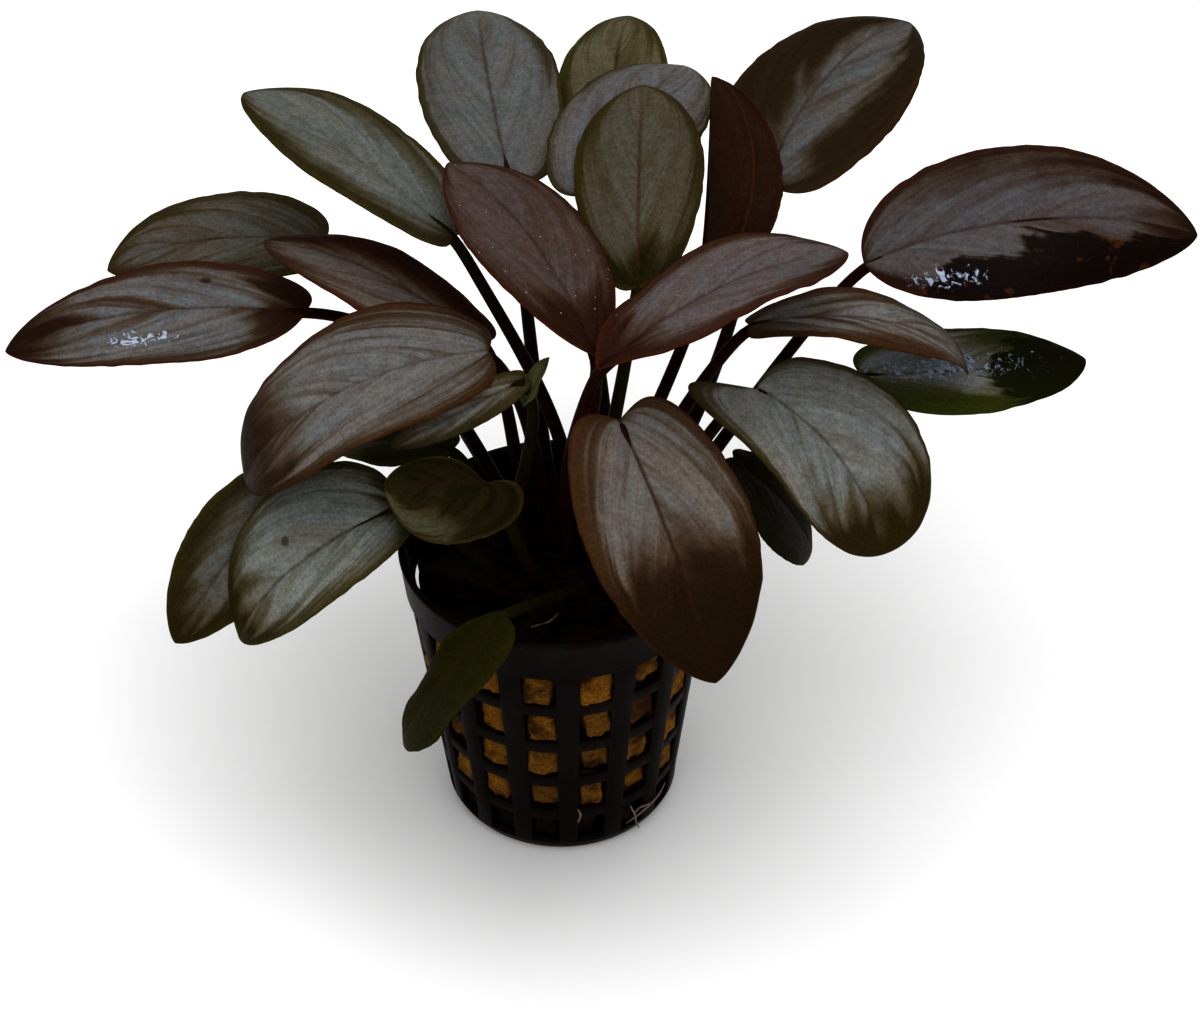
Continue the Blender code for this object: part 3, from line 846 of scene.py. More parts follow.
def leaf_skin_group(veins):
    """The upper face of a leaf: silver bloom and painted sheen between the veins over a dark body, with a
    rust rim.
    """
    web, given, out = new_group("Leaf skin", LEAF_INPUTS, COLOUR_AND_RELIEF)
    along, across, side, reach, vein, wave = web.veined(veins)
    place = web.place()
    seed = web.sloped(given["Seed"], 7.3, web.maths("SIGN", side))
    flow = web.vector(web.times(vein, 9.0), web.times(along, 1.6), seed)
    broad = web.grain(web.scaled(flow, (0.4, 0.8, 1.0)), 1.0, detail=2.0, rough=0.5, warp=0.3)
    streak = web.grain(web.scaled(flow, (0.7, 0.9, 1.0)), 1.0, detail=4.0, rough=0.6, warp=0.6)
    fine_streak = web.grain(web.scaled(flow, (3.0, 2.0, 1.0)), 1.0, detail=3.0, warp=0.5)
    line = web.times(web.ramp(wave, 0.75, 1.0), web.ramp(streak, 0.4, 0.65))
    blotch = web.grain(place, 110.0, detail=4.0, rough=0.55)
    mottle = web.grain(place, 520.0, detail=4.0, rough=0.65)
    fine = web.grain(place, 1900.0, detail=2.0)

    # Bloom and painted sheen fade to the margin, to the base and tip, and along dark streaks. These fades
    # are painted where curled margins and a drooping tip turn away from the light.
    drift = web.sloped(broad, 0.9, -0.45)
    drift = web.maths("ADD", drift, web.sloped(blotch, 0.5, -0.25))
    off = web.maths("ABSOLUTE", web.maths("SUBTRACT", side, given["Bloom Side"]))
    off = web.maths("DIVIDE", web.maths("ADD", off, drift), given["Bloom Spread"])
    bloom_and_sheen = web.ramp(off, 0.40, 1.20, 1.0, 0.0)
    past = web.maths("SUBTRACT", web.sloped(drift, 0.5, along), given["Bloom End"])
    bloom_and_sheen = web.times(bloom_and_sheen, web.ramp(past, -0.15, 0.12, 1.0, 0.0))
    past = web.maths("SUBTRACT", web.sloped(drift, 0.4, along), given["Bloom Start"])
    bloom_and_sheen = web.times(bloom_and_sheen, web.ramp(past, -0.05, 0.10))
    dark = web.times(web.ramp(streak, 0.42, 0.76, 0.0, 0.8), given["Streaks"])
    bloom_and_sheen = web.times(bloom_and_sheen, web.maths("SUBTRACT", 1.0, dark))
    bloom_and_sheen = web.times(bloom_and_sheen, web.ramp(fine_streak, 0.3, 0.7, 0.78, 1.0))
    bloom_and_sheen = web.times(bloom_and_sheen, web.ramp(mottle, 0.35, 0.65, 0.80, 1.0))
    bloom_and_sheen = web.times(bloom_and_sheen, given["Bloom And Sheen"], clamp=True)

    # Film of water with an edge that runs along the veins, and drops on it. The drops' pale blue-white
    # colour is a painted glint.
    spot = (along, across)
    film_radii = (given["Wet Length"], given["Wet Depth"])
    film = web.ellipse(spot, (given["Wet Along"], given["Wet Across"]), film_radii)
    film = web.sloped(fine_streak, 0.15, film)
    film = web.sloped(streak, 0.8, film)
    film = web.sloped(blotch, 1.0, film)
    wet = web.times(web.ramp(film, 1.75, 1.90, 1.0, 0.0), given["Wet"])
    drops_radii = (given["Drops Length"], web.times(given["Drops Length"], 0.55))
    spread = web.ellipse(spot, (given["Drops Along"], given["Drops Across"]), drops_radii)
    ragged = web.grain(place, 520.0, detail=4.0, rough=0.6, warp=1.8)
    drops_and_painted_glints = web.sloped(spread, -0.15, ragged)
    drops_and_painted_glints = web.times(web.ramp(drops_and_painted_glints, 0.42, 0.50), given["Drops And Painted Glints"])
    bloom_and_sheen = web.times(bloom_and_sheen, web.sloped(wet, -0.95, 1.0))

    # Body, warmer to the margin and darker to the tip. The darker tip is partly its own browner tone and
    # partly painted shade where it turns down from the light.
    rim_reach = web.times(given["Rim Width"], web.ramp(broad, 0.3, 0.7, 0.5, 1.8))
    rim_reach = web.times(rim_reach, web.sloped(side, given["Rim Side"], 1.0))
    from_margin = web.attribute("from_margin")
    ring = web.maths("DIVIDE", from_margin, rim_reach)
    warm = web.ramp(ring, 0.0, 0.8, 1.0, 0.0)
    body = web.mix(web.ramp(streak, 0.35, 0.7, 0.0, 0.3), given["Body"], given["Rim"])
    body = web.mix(warm, body, given["Rim"])
    tip = web.ramp(web.maths("SUBTRACT", web.sloped(drift, 0.4, along), given["Tip Start"]), -0.1, 0.25)
    body = web.mix(web.times(tip, 0.9), body, given["Tip"])
    bloom_and_sheen = web.times(bloom_and_sheen, web.ramp(ring, 0.1, 1.9, 0.15, 1.0))
    # Silver is partly the leaf's own bloom and partly painted sheen, cooler in some patches and warmer in
    # others.
    silver = web.mix(web.ramp(blotch, 0.35, 0.65), given["Silver"], (0.94, 1.0, 1.06), way="MULTIPLY")
    silver = web.mix(web.ramp(broad, 0.35, 0.55, 1.0, 0.0), silver, (1.0, 0.92, 0.84), way="MULTIPLY")
    thin = web.mix(1.0, silver, (1.0, 0.78, 0.50), way="MULTIPLY")
    colour = web.mix(bloom_and_sheen, body, web.mix(web.ramp(bloom_and_sheen, 0.15, 0.75), thin, silver))
    colour = web.mix(web.times(line, 0.14), colour, given["Rib"])
    midrib = web.times(reach, web.attribute("half_width"))
    midrib = web.ramp(web.sloped(mottle, 0.3, midrib), 0.20, 0.80, 1.0, 0.0)
    midrib = web.times(midrib, web.ramp(along, 0.6, 1.0, 1.0, 0.1))
    colour = web.mix(web.times(midrib, given["Midrib"]), colour, given["Rib"])
    edge_line = web.ramp(from_margin, 0.1, 0.5, 0.7, 0.0)
    colour = web.mix(edge_line, colour, given["Rim"])

    # Specks of lime, flecks of dead tissue and one old scar
    speck = web.node("ShaderNodeTexVoronoi", {"Vector": place, "Scale": 900.0})
    chance = web.node("ShaderNodeSeparateColor", {0: speck.outputs["Color"]}).outputs[0]
    speck = web.times(web.ramp(speck.outputs["Distance"], 0.07, 0.16, 1.0, 0.0), given["Specks"])
    speck = web.times(speck, web.ramp(chance, 0.78, 0.82))
    colour = web.mix(speck, colour, (0.30, 0.29, 0.28))
    fleck = web.sloped(mottle, 0.25, web.grain(place, 150.0, detail=3.0, warp=1.0))
    fleck = web.times(web.ramp(fleck, 0.71, 0.78), web.times(given["Flecks"], wet))
    colour = web.mix(fleck, colour, (0.16, 0.045, 0.008))
    scar = web.ellipse(spot, (given["Spot Along"], given["Spot Across"]), (0.018, 0.03))
    colour = web.mix(web.ramp(scar, 0.6, 1.3, 0.75, 0.0), colour, given["Tip"])
    shade = web.maths("MAXIMUM", web.ramp(fine, 0.35, 0.7, 0.0, 0.26), web.times(wet, 0.72))
    colour = web.mix(shade, colour, (0.0, 0.0, 0.0))
    # Painted glints: the drops take a pale blue-white highlight colour.
    web.feed(out["Colour"], web.mix(drops_and_painted_glints, colour, (0.25, 0.30, 0.40)))

    rough = web.sloped(bloom_and_sheen, 0.10, 0.33)
    rough = web.sloped(blotch, 0.14, rough)
    web.feed(out["Roughness"], web.times(rough, web.sloped(wet, -0.4, 1.0)))
    web.feed(out["Coat"], drops_and_painted_glints)
    height = web.sloped(line, -0.3, web.times(fine, 0.30))
    height = web.sloped(fine_streak, 0.35, height)
    height = web.sloped(mottle, 1.1, height)
    height = web.sloped(drops_and_painted_glints, 1.5, height)
    web.feed(out["Height"], web.sloped(blotch, 1.8, height))
    return web.tree


def leaf_face(leaf, group, number):
    """The upper face's material, with this leaf's own look."""
    made, web, shader = new_material(leaf.name + "_upper")
    usual = {label: value for label, value in SKINS[leaf.skin].items() if label in LEAF_INPUTS}
    look = {**usual, **leaf.look, "Seed": float(number)}
    skin = web.node("ShaderNodeGroup", look, node_tree=group).outputs
    relief = (skin["Height"], 0.00014, 0.9)
    surface(web, shader, skin["Colour"], skin["Roughness"], relief, SKINS[leaf.skin]["Reflection"])
    web.feed(shader["Coat Weight"], skin["Coat"])
    shader["Coat Roughness"].default_value = 0.06
    return made


def leaf_back(skin, veins):
    """The under face's material: paler and matt, with its veins raised."""
    made, web, shader = new_material("leaf_" + skin + "_under")
    line = web.ramp(web.veined(veins)[-1], 0.6, 1.0)
    blotch = web.grain(web.place(), 160.0, detail=4.0)
    fine = web.grain(web.place(), 1400.0, detail=2.0)
    colour = web.mix(web.ramp(blotch, 0.3, 0.7, 0.0, 0.6), SKINS[skin]["Under"], SKINS[skin]["Body"])
    colour = web.mix(web.times(line, 0.5), colour, SKINS[skin]["Rib"])
    relief = (web.sloped(fine, 0.4, line), 0.00012, 0.7)
    surface(web, shader, colour, web.sloped(blotch, 0.2, 0.45), relief, 0.03)
    return made


def stalk_skin(skin):
    """Stalk and midrib: dark and glossy, redder near the crown, with fine lines along it."""
    made, web, shader = new_material("stalk_" + skin)
    along, _ = web.along_across()
    place = web.place()
    lines = web.grain(web.scaled(place, (1.0, 1.0, 0.12)), 1400.0, detail=3.0)
    blotch = web.grain(place, 140.0, detail=3.0)
    rising = web.ramp(web.sloped(blotch, 0.3, along), 0.25, 0.6)
    colour = web.mix(rising, SKINS[skin]["Stalk Foot"], SKINS[skin]["Stalk Top"])
    colour = web.mix(web.ramp(lines, 0.4, 0.7, 0.0, 0.25), colour, SKINS[skin]["Rib"])
    surface(web, shader, colour, web.sloped(lines, 0.2, 0.3), (lines, 0.0001, 0.6), 0.02)
    return made


def pot_plastic(colour):
    """Black moulded plastic with a fine satin grain and a violet-grey painted sheen laid in streaks."""
    made, web, shader = new_material("pot_plastic")
    place = web.place()
    haze = web.grain(place, 90.0, detail=4.0, rough=0.6)
    grain = web.grain(place, 2600.0, detail=2.0)
    # Painted sheen: violet-grey streaks mixed into the black plastic.
    painted_sheen = web.ramp(web.grain(web.scaled(place, (1.0, 1.0, 0.35)), 240.0, detail=5.0, rough=0.7), 0.56, 0.75)
    tone = web.mix(web.times(painted_sheen, 0.5), tuple(colour), (0.016, 0.014, 0.017))
    low = web.ramp(web.sloped(haze, 0.012, web.parts(place)[2]), 0.006, 0.046, 0.75, 0.0)
    muddy = web.maths("MAXIMUM", web.ramp(haze, 0.3, 0.7, 0.0, 0.7), low)
    colour = web.mix(muddy, tone, (0.0036, 0.0014, 0.0008))
    surface(web, shader, colour, web.sloped(haze, 0.22, 0.28), (grain, 0.00004, 0.5), 0.02)
    return made


def wool_fibre(colour, stain_and_shade):
    """Rock wool: mustard fibres, darker low down and in stained patches, with the core behind the cubes
    painted dark as shade.
    """
    made, web, shader = new_material("rock_wool")
    place = web.place()
    fibre = web.grain(web.scaled(place, (1.0, 1.0, 1.8)), 1500.0, detail=4.0, rough=0.7, warp=1.2)
    patch = web.grain(place, 150.0, detail=4.0, rough=0.6)
    low = web.ramp(web.sloped(patch, 0.016, web.parts(place)[2]), 0.013, 0.023, 1.0, 0.0)
    darkened = web.maths("ADD", low, web.ramp(patch, 0.44, 0.66, 0.0, 0.9), clamp=True)
    # The shade mark is full on the core, as painted shade behind the cubes. Some cubes are darker at
    # random, and the lowest row is darker.
    darkened = web.maths("MAXIMUM", darkened, web.attribute("shade"))
    dim, bright = (tuple(part * share for part in colour) for share in (0.45, 1.35))
    tone = web.mix(web.ramp(fibre, 0.35, 0.7), dim, bright)
    rust = web.grain(place, 260.0, detail=3.0)
    dark_tone = web.mix(web.ramp(rust, 0.45, 0.62), tuple(stain_and_shade), (0.020, 0.0045, 0.0012))
    surface(web, shader, web.mix(darkened, tone, dark_tone), 0.85, (fibre, 0.0004, 0.9), 0.1)
    return made


def wet_peat(stain_and_shade):
    """The dark, wet top of the plug, with brown crumbs and bits of old root."""
    made, web, shader = new_material("peat")
    place = web.place()
    crumb = web.grain(place, 700.0, detail=5.0, rough=0.7)
    patch = web.grain(place, 150.0, detail=3.0)
    tone = web.mix(web.ramp(crumb, 0.50, 0.75), tuple(c * 0.4 for c in stain_and_shade), (0.009, 0.004, 0.0015))
    colour = web.mix(web.ramp(patch, 0.36, 0.60, 0.0, 0.85), tone, (0.001, 0.0006, 0.0004))
    surface(web, shader, colour, web.sloped(patch, 0.4, 0.5), (crumb, 0.0004, 0.9), 0.02)
    return made


def root_skin():
    """Pale root with a pink cast and brown scars."""
    made, web, shader = new_material("root")
    scar = web.grain(web.place(), 900.0, detail=3.0)
    colour = web.mix(web.ramp(scar, 0.5, 0.7), (0.13, 0.085, 0.062), (0.05, 0.022, 0.012))
    surface(web, shader, colour, 0.45, (scar, 0.0001, 0.5), 0.5)
    return made


def crown_skin():
    """The short stem's dark skin, ringed by the scars of old leaves."""
    made, web, shader = new_material("crown")
    ring = web.grain(web.scaled(web.place(), (0.5, 0.5, 3.0)), 500.0, detail=4.0, rough=0.65)
    colour = web.mix(web.ramp(ring, 0.35, 0.7), (0.002, 0.0008, 0.0005), (0.010, 0.0035, 0.0018))
    surface(web, shader, colour, 0.6, (ring, 0.0004, 0.8), 0.04)
    return made


def wall_radius(z):
    """Outer radius of the pot's tapered wall below its band."""
    share = (z - HEEL_HEIGHT) / (BAND_BOTTOM - HEEL_HEIGHT)
    return HEEL_RADIUS + share * (WALL_TOP_RADIUS - HEEL_RADIUS)


def window_rows():
    """(bottom, top) of each row of windows from the lowest up."""
    rows = []
    top = WINDOW_TOP
    for row in range(WINDOW_ROWS):
        rows.append((top - WINDOW_HEIGHT + WINDOW_SHRINK * row, top))
        top -= WINDOW_PITCH - WINDOW_SHRINK * row
    return rows[::-1]


def pot_profile():
    """(radius, height) of the outer surface from the hub of the base to the rim."""
    profile = [(BASE_HUB_RADIUS, 0.0), (BASE_RING_RADIUS, 0.0), (FOOT_RADIUS, 0.0)]
    profile += [(19.4, 0.35), HEEL_TURN, (20.4, 2.2)]
    for bottom, top in window_rows():
        profile += [(wall_radius(bottom), bottom), (wall_radius(top), top)]
    profile += [
        (wall_radius(BAND_BOTTOM), BAND_BOTTOM),
        (wall_radius(BAND_BOTTOM) + BAND_STEP, BAND_BOTTOM + 0.3),
        (RIM_RADIUS - 0.15, POT_HEIGHT - 0.9),
        (RIM_RADIUS, POT_HEIGHT - 0.6),
        (RIM_RADIUS, POT_HEIGHT),
    ]
    return profile


def in_window_column(x, y):
    """True where a direction from the axis passes through a column of windows."""
    pitch = 360.0 / WINDOW_COLUMNS
    half = pitch * WINDOW_STEPS / STEPS_PER_COLUMN / 2
    heading = Vector((0.0, -1.0)).angle_signed(Vector((x, y)), 0.0)
    from_centre = (-heading * 180 / pi - FRONT_WINDOW_DEG + pitch / 2) % pitch - pitch / 2
    return abs(from_centre) < half + 0.01


def grow_ring(radius, z, old_radius, old_z):
    """Extrudes the selected ring of edges to a new radius and height."""
    move = {"value": (0.0, 0.0, (z - old_z) * MM)}
    bpy.ops.mesh.extrude_edges_move(TRANSFORM_OT_translate=move)
    size = radius / old_radius
    bpy.ops.transform.resize(value=(size, size, 1.0), center_override=(0.0, 0.0, 0.0))


def build_pot(settings):
    """A ring is drawn up the profile, the windows are cut out, and the skin gets its wall."""
    profile = pot_profile()
    steps = WINDOW_COLUMNS * STEPS_PER_COLUMN
    first = radians(FRONT_WINDOW_DEG - 90) - pi * WINDOW_STEPS / steps
    deselect()
    bpy.ops.mesh.primitive_circle_add(
        vertices=steps, radius=profile[0][0] * MM, fill_type="TRIFAN", rotation=(0.0, 0.0, first + pi / 2)
    )
    pot = named("mesh_pot")
    bpy.ops.object.transform_apply(rotation=True)
    bpy.ops.object.mode_set(mode="EDIT")
    bpy.ops.mesh.select_all(action="DESELECT")
    bpy.ops.mesh.select_mode(type="EDGE")
    bpy.ops.mesh.select_non_manifold()
    for (old_radius, old_z), (radius, z) in zip(profile, profile[1:]):
        grow_ring(radius, z, old_radius, old_z)
    bpy.ops.object.mode_set(mode="OBJECT")
    face_outwards(pot)

    rows = window_rows()

    def is_window(middle):
        on_wall = any(bottom < middle.z < top for bottom, top in rows)
        on_base = middle.z < 0.01 and BASE_HUB_RADIUS < middle.xy.length < BASE_RING_RADIUS
        return (on_wall or on_base) and in_window_column(middle.x, middle.y)

    cut_away(pot, is_window)
    apply_modifier(
        pot, "Wall", "SOLIDIFY", thickness=settings.wall, offset=-1.0, use_even_offset=True, use_rim=True
    )
    for corner in pot.data.vertices:
        z = corner.co.z / MM
        reach = corner.co.xy.length
        on_bar = any(low[1] - BAR_EDGE <= z <= high[0] + BAR_EDGE for low, high in zip(rows, rows[1:]))
        is_outside = reach / MM > wall_radius(z) - BAR_DEPTH
        if on_bar and is_outside and in_window_column(corner.co.x, corner.co.y):
            corner.co.xy = corner.co.xy * (1.0 - settings.bar_sink / reach)
    apply_modifier(
        pot, "Corners", "BEVEL", width=settings.corner, segments=2, limit_method="ANGLE",
        angle_limit=CORNER_ANGLE,
    )
    make_active(pot)
    bpy.ops.object.shade_smooth_by_angle(angle=SMOOTH_ANGLE)
    give(pot, pot_plastic(settings.colour))
    settle(pot, "pot_plastic", "net_pot")


class LAGENANDRA_OT_pot(bpy.types.Operator):
    """Models the mesh pot"""

    bl_idname = "lagenandra.pot"
    bl_label = "Mesh pot"

    def execute(self, context):
        build_pot(context.scene.lagenandra_pot)
        return {"FINISHED"}


def rough_up(piece, height, scale, seed):
    """Pushes each corner of a piece along its normal by a steady noise."""
    shift = Vector((seed * 3.7, seed * 1.9, seed * 5.3))
    for corner in piece.data.vertices:
        amount = noise.fractal(corner.co / MM * scale + shift, 1.0, 2.0, 3)
        corner.co += corner.normal * amount * height * MM


def wool_core():
    """The body of the plug, behind the cubes."""
    bottom, top = WOOL_LOW.z / MM, WOOL_HIGH.z / MM

    def place(u, v):
        z = bottom + (top - bottom) * v
        radius = wall_radius(max(z, HEEL_HEIGHT)) - CORE_GAP
        if z < HEEL_HEIGHT + 2:
            radius -= (HEEL_HEIGHT + 2 - z) * 0.35
        return round_axis(radius, 2 * pi * u, z)

    core = shaped_grid("wool_core", CORE_SIDES, CORE_RINGS, place)
    edit(core, weld, close_ends, turn_outwards)
    rough_up(core, 0.7, 0.35, 1)
    rough_up(core, 0.25, 1.4, 2)
    return core


def cut_cube():
    """One cut cube of wool, a millimetre wide each way as a start for copies, with worn edges."""
    deselect()
    bpy.ops.mesh.primitive_cube_add(size=1.0)
    cube = named("wool_cube")
    edit(
        cube,
        lambda: bpy.ops.mesh.bevel(offset=0.16, segments=2, affect="EDGES"),
        lambda: bpy.ops.mesh.subdivide(number_cuts=3),
        lambda: bpy.ops.mesh.vertices_smooth(factor=0.6, repeat=2),
    )
    return cube


def placed_copy(piece, place, roughness, number):
    """A copy of a piece with its own mesh, put in its place in millimetres and roughened."""
    twin = bpy.data.objects.new(piece.name, piece.data.copy())
    bpy.context.collection.objects.link(twin)
    twin.data.transform(Matrix.Scale(MM, 4) @ place)
    twin.data.update()
    for step, (height, scale) in enumerate(roughness):
        rough_up(twin, height, scale, number + step * 0.5)
    return twin


def build_wool(settings):
    """A core painted dark as shade, with cut cubes of wool pushed into the windows."""
    core = wool_core()
    cube = cut_cube()
    # The core behind the cubes takes the full dark mark, as painted shade.
    pieces, shades = [core], [1.0]
    pitch = 2 * pi / WINDOW_COLUMNS
    number = 0
    for row, (bottom, top) in enumerate(window_rows()):
        for column in range(WINDOW_COLUMNS):
            number += 1
            a, b, c, d = (noise.noise(Vector((number * 1.37, k * 9.1, 0.5))) for k in range(4))
            heading = radians(FRONT_WINDOW_DEG - 90) + pitch * column + a * 0.06
            z = (bottom + top) / 2 + b * 1.4
            opening = 2 * wall_radius(z) * sin(pitch / 2) * WINDOW_STEPS / STEPS_PER_COLUMN
            width = opening * (0.90 + 0.4 * c)
            size = (CUBE_DEPTH, width, (top - bottom) * (0.90 + 0.5 * d))
            depth = settings.sink / MM + abs(d) * 2.2 + (0.9 if row == 0 else 0.0)
            radius = wall_radius(z) - depth - CUBE_DEPTH / 2
            place = (
                Matrix.Translation(round_axis(radius, heading, z))
                @ Matrix.Rotation(heading + c * 0.3, 4, "Z")
                @ Matrix.Rotation(a * 0.35, 4, "X")
                @ Matrix.Diagonal((*size, 1.0))
            )
            pieces.append(placed_copy(cube, place, ((0.5, 0.6), (0.2, 2.2)), number))
            shades.append(max(0.0, b * 1.2 - 0.1) + (0.65 if row == 0 else 0.0))
    bpy.data.objects.remove(cube)
    for piece, shade in zip(pieces, shades):
        mark(piece, "shade", [min(shade, 1.0)] * len(piece.data.vertices))
    wool = joined(pieces, "rock_wool_plug")
    give(wool, wool_fibre(settings.colour, settings.stain_and_shade))
    settle(wool, "wool", "rock_wool")


def build_peat(settings):
    """The plug's uneven dark top, with crumbs on it."""
    radius = wall_radius(BAND_BOTTOM) - PEAT_GAP
    top = WOOL_HIGH.z / MM

    def place(u, v):
        return round_axis(radius * v, 2 * pi * u, top - PEAT_SINK + 0.5 * (1.0 - v**6))

    ground = shaped_grid("peat_ground", PEAT_SIDES, PEAT_RINGS, place)
    edit(ground, weld, turn_outwards)
    for corner in ground.data.vertices:
        spot = corner.co / MM
        lift = 0.7 * noise.fractal(spot * 0.3, 1.0, 2.0, 3) + 0.5 * noise.fractal(spot * 1.3, 1.0, 2.0, 2)
        corner.co.z += lift * MM
    deselect()
    bpy.ops.mesh.primitive_ico_sphere_add(subdivisions=2, radius=1.0)
    crumb = named("crumb")
    pieces = [ground]
    for number in range(CRUMBS):
        reach = radius * 0.96 * (0.5 + 0.5 * noise.noise(Vector((number * 2.3, 0.3, 4.1)))) ** 0.5
        turn = number * CRUMB_TURN
        bulk = 0.45 + 0.5 * abs(noise.noise(Vector((number * 1.7, 8.3, 0.2))))
        place = (
            Matrix.Translation(round_axis(reach, turn, top - 0.5))
            @ Matrix.Rotation(turn * 3, 4, "Z")
            @ Matrix.Diagonal((bulk, bulk * 1.3, bulk * 0.7, 1.0))
        )
        pieces.append(placed_copy(crumb, place, ((0.35, 1.2),), number))
    bpy.data.objects.remove(crumb)
    peat = joined(pieces, "peat_top")
    give(peat, wet_peat(settings.stain_and_shade))
    settle(peat, "wool")


class LAGENANDRA_OT_wool(bpy.types.Operator):
    """Packs the pot with rock wool and lays the dark top on it"""

    bl_idname = "lagenandra.wool"
    bl_label = "Rock wool"

    def execute(self, context):
        build_wool(context.scene.lagenandra_wool)
        build_peat(context.scene.lagenandra_wool)
        return {"FINISHED"}


def crown_centre():
    """Centre of the sphere that the crown's domed top follows."""
    return Vector((*CROWN_PLACE, WOOL_HIGH.z / MM + CROWN_GAP + CROWN_RISE - CROWN_RADIUS))


def build_crown():
    """The short stem at the middle: a lumpy dome with the scars of old leaves."""
    deselect()
    bpy.ops.mesh.primitive_uv_sphere_add(segments=72, ring_count=48, radius=CROWN_RADIUS - CROWN_SKIN)
    crown = named("crown")
    floor = WOOL_HIGH.z / MM - CROWN_SINK - crown_centre().z
    cut = {"plane_co": (0, 0, floor), "plane_no": (0, 0, 1), "clear_inner": True, "use_fill": True}
    edit(crown, lambda: bpy.ops.mesh.bisect(**cut))
    crown.data.transform(Matrix.Scale(MM, 4) @ Matrix.Translation(crown_centre()))
    crown.data.update()
    rough_up(crown, 0.8, 0.28, 5)
    rough_up(crown, 0.3, 1.1, 6)
    crown.data.shade_smooth()
    give(crown, crown_skin())
    settle(crown, "rhizome", "rhizome")


class LAGENANDRA_OT_crown(bpy.types.Operator):
    """Models the crown that the stalks grow from"""

    bl_idname = "lagenandra.crown"
    bl_label = "Crown"

    def execute(self, context):
        build_crown()
        return {"FINISHED"}


class Spine:
    """The midrib of one blade, as a curve from base to tip with an upper side all along it."""

    def __init__(self, leaf):
        base, tip = Vector(leaf.base), Vector(leaf.tip)
        self.length = (tip - base).length
        along = (tip - base).normalized()
        inwards = Vector((CROWN_PLACE.x - base.x, CROWN_PLACE.y - base.y, 0.0)).normalized()
        level = square_to(Vector((0.0, 0.0, 1.0)) + inwards * LEAN_TO_MIDDLE, along)
        self.upwards = Matrix.Rotation(radians(leaf.roll), 3, along) @ level
        sideways = along.cross(self.upwards) * sin(radians(leaf.swing))
        rise, droop = radians(leaf.rise), radians(leaf.droop)
        start = (along * cos(rise) + self.upwards * sin(rise) + sideways).normalized()
        end = (along * cos(droop) - self.upwards * sin(droop) - sideways).normalized()
        reach = self.length / 3
        self.knots = (base, base + start * reach, tip - end * reach, tip)

    def frame(self, share):
        """Point, right and up vectors at a share of the length."""
        t = min(max(share, 0.0), 1.0)
        point, forward = bezier(self.knots, t)
        point += forward * (share - t) * self.length
        up = square_to(self.upwards, forward)
        return point, forward.cross(up), up


def half_width(leaf, share):
    """Half the blade's width at a share of its length: a rounded base, then an oval to the tip."""
    p, q = leaf.heel, leaf.point
    widest = p / (p + q)
    most = widest**p * (1 - widest) ** q
    return leaf.width / 2 * share**p * (1 - share) ** q / most


def lobe_reach(leaf, share, side):
    """How far the margin lies behind the midrib's point, as a share of the length."""
    rise = share / LOBE_STATION
    return (leaf.lobe + leaf.lobe_lean * side) * (rise * exp(1 - rise)) ** LOBE_FALL


def blade_point(leaf, spine, share, across):
    """Point and upward normal on the blade. Across runs from -1 at the left margin to 1 at the right."""
    side = 1.0 if across >= 0 else -1.0
    back = lobe_reach(leaf, share, side) * abs(across) ** LOBE_SWEEP
    point, right, up = spine.frame(share - back)
    start, bend = radians(leaf.fold), radians(leaf.curl) * abs(across)
    slope = start + bend
    reach = half_width(leaf, share) * (1.0 + leaf.lean * side) * abs(across)
    reach *= 1.0 + MARGIN_NOISE * noise.noise(Vector((share * 22.0, side * 5.0, leaf.width)))
    out, lift = reach * cos(start), reach * sin(start)
    if bend:
        out = reach * (sin(slope) - sin(start)) / bend
        lift = reach * (cos(start) - cos(slope)) / bend
    out -= leaf.hook * back * spine.length * exp(-share / HOOK_STATION)
    return point + right * side * out + up * lift, up * cos(slope) - right * side * sin(slope)


def relief(leaf, number, share, across, settings):
    """How far a point of the blade stands off its smooth surface, in millimetres."""
    half = half_width(leaf, share)
    reach = abs(across)
    vein = share + VEIN_SWEEP * log(1.0 - VEIN_HUG * reach)
    between = min(half / 4.0, 1.0) * (1.0 - share**4)
    uneven = 0.55 + 0.9 * noise.noise(Vector((vein * 4.0, number * 5.7, across)))
    pleat = -settings.pleat * cos(2 * pi * settings.veins * vein) * between * uneven
    groove = -settings.groove * exp(-((across * half / 0.7) ** 2)) * (1.0 - share)
    phase = number * 2.4 + (1.3 if across > 0 else 0.0)
    wave = settings.wave * leaf.ruffle * reach**3 * between
    wave *= sin(2 * pi * 1.6 * share + phase) + 0.5 * noise.noise(Vector((share * 11.0, across, phase * 3)))
    swell = 0.0004 * noise.noise(Vector((share * 3.0, across * 1.5, number * 3.1))) * between
    return (pleat + groove + wave + swell) / MM


def eased(u):
    """Steps along a blade are short at its base and tip, where its outline turns fastest."""
    return sin(pi * u / 2) ** 2


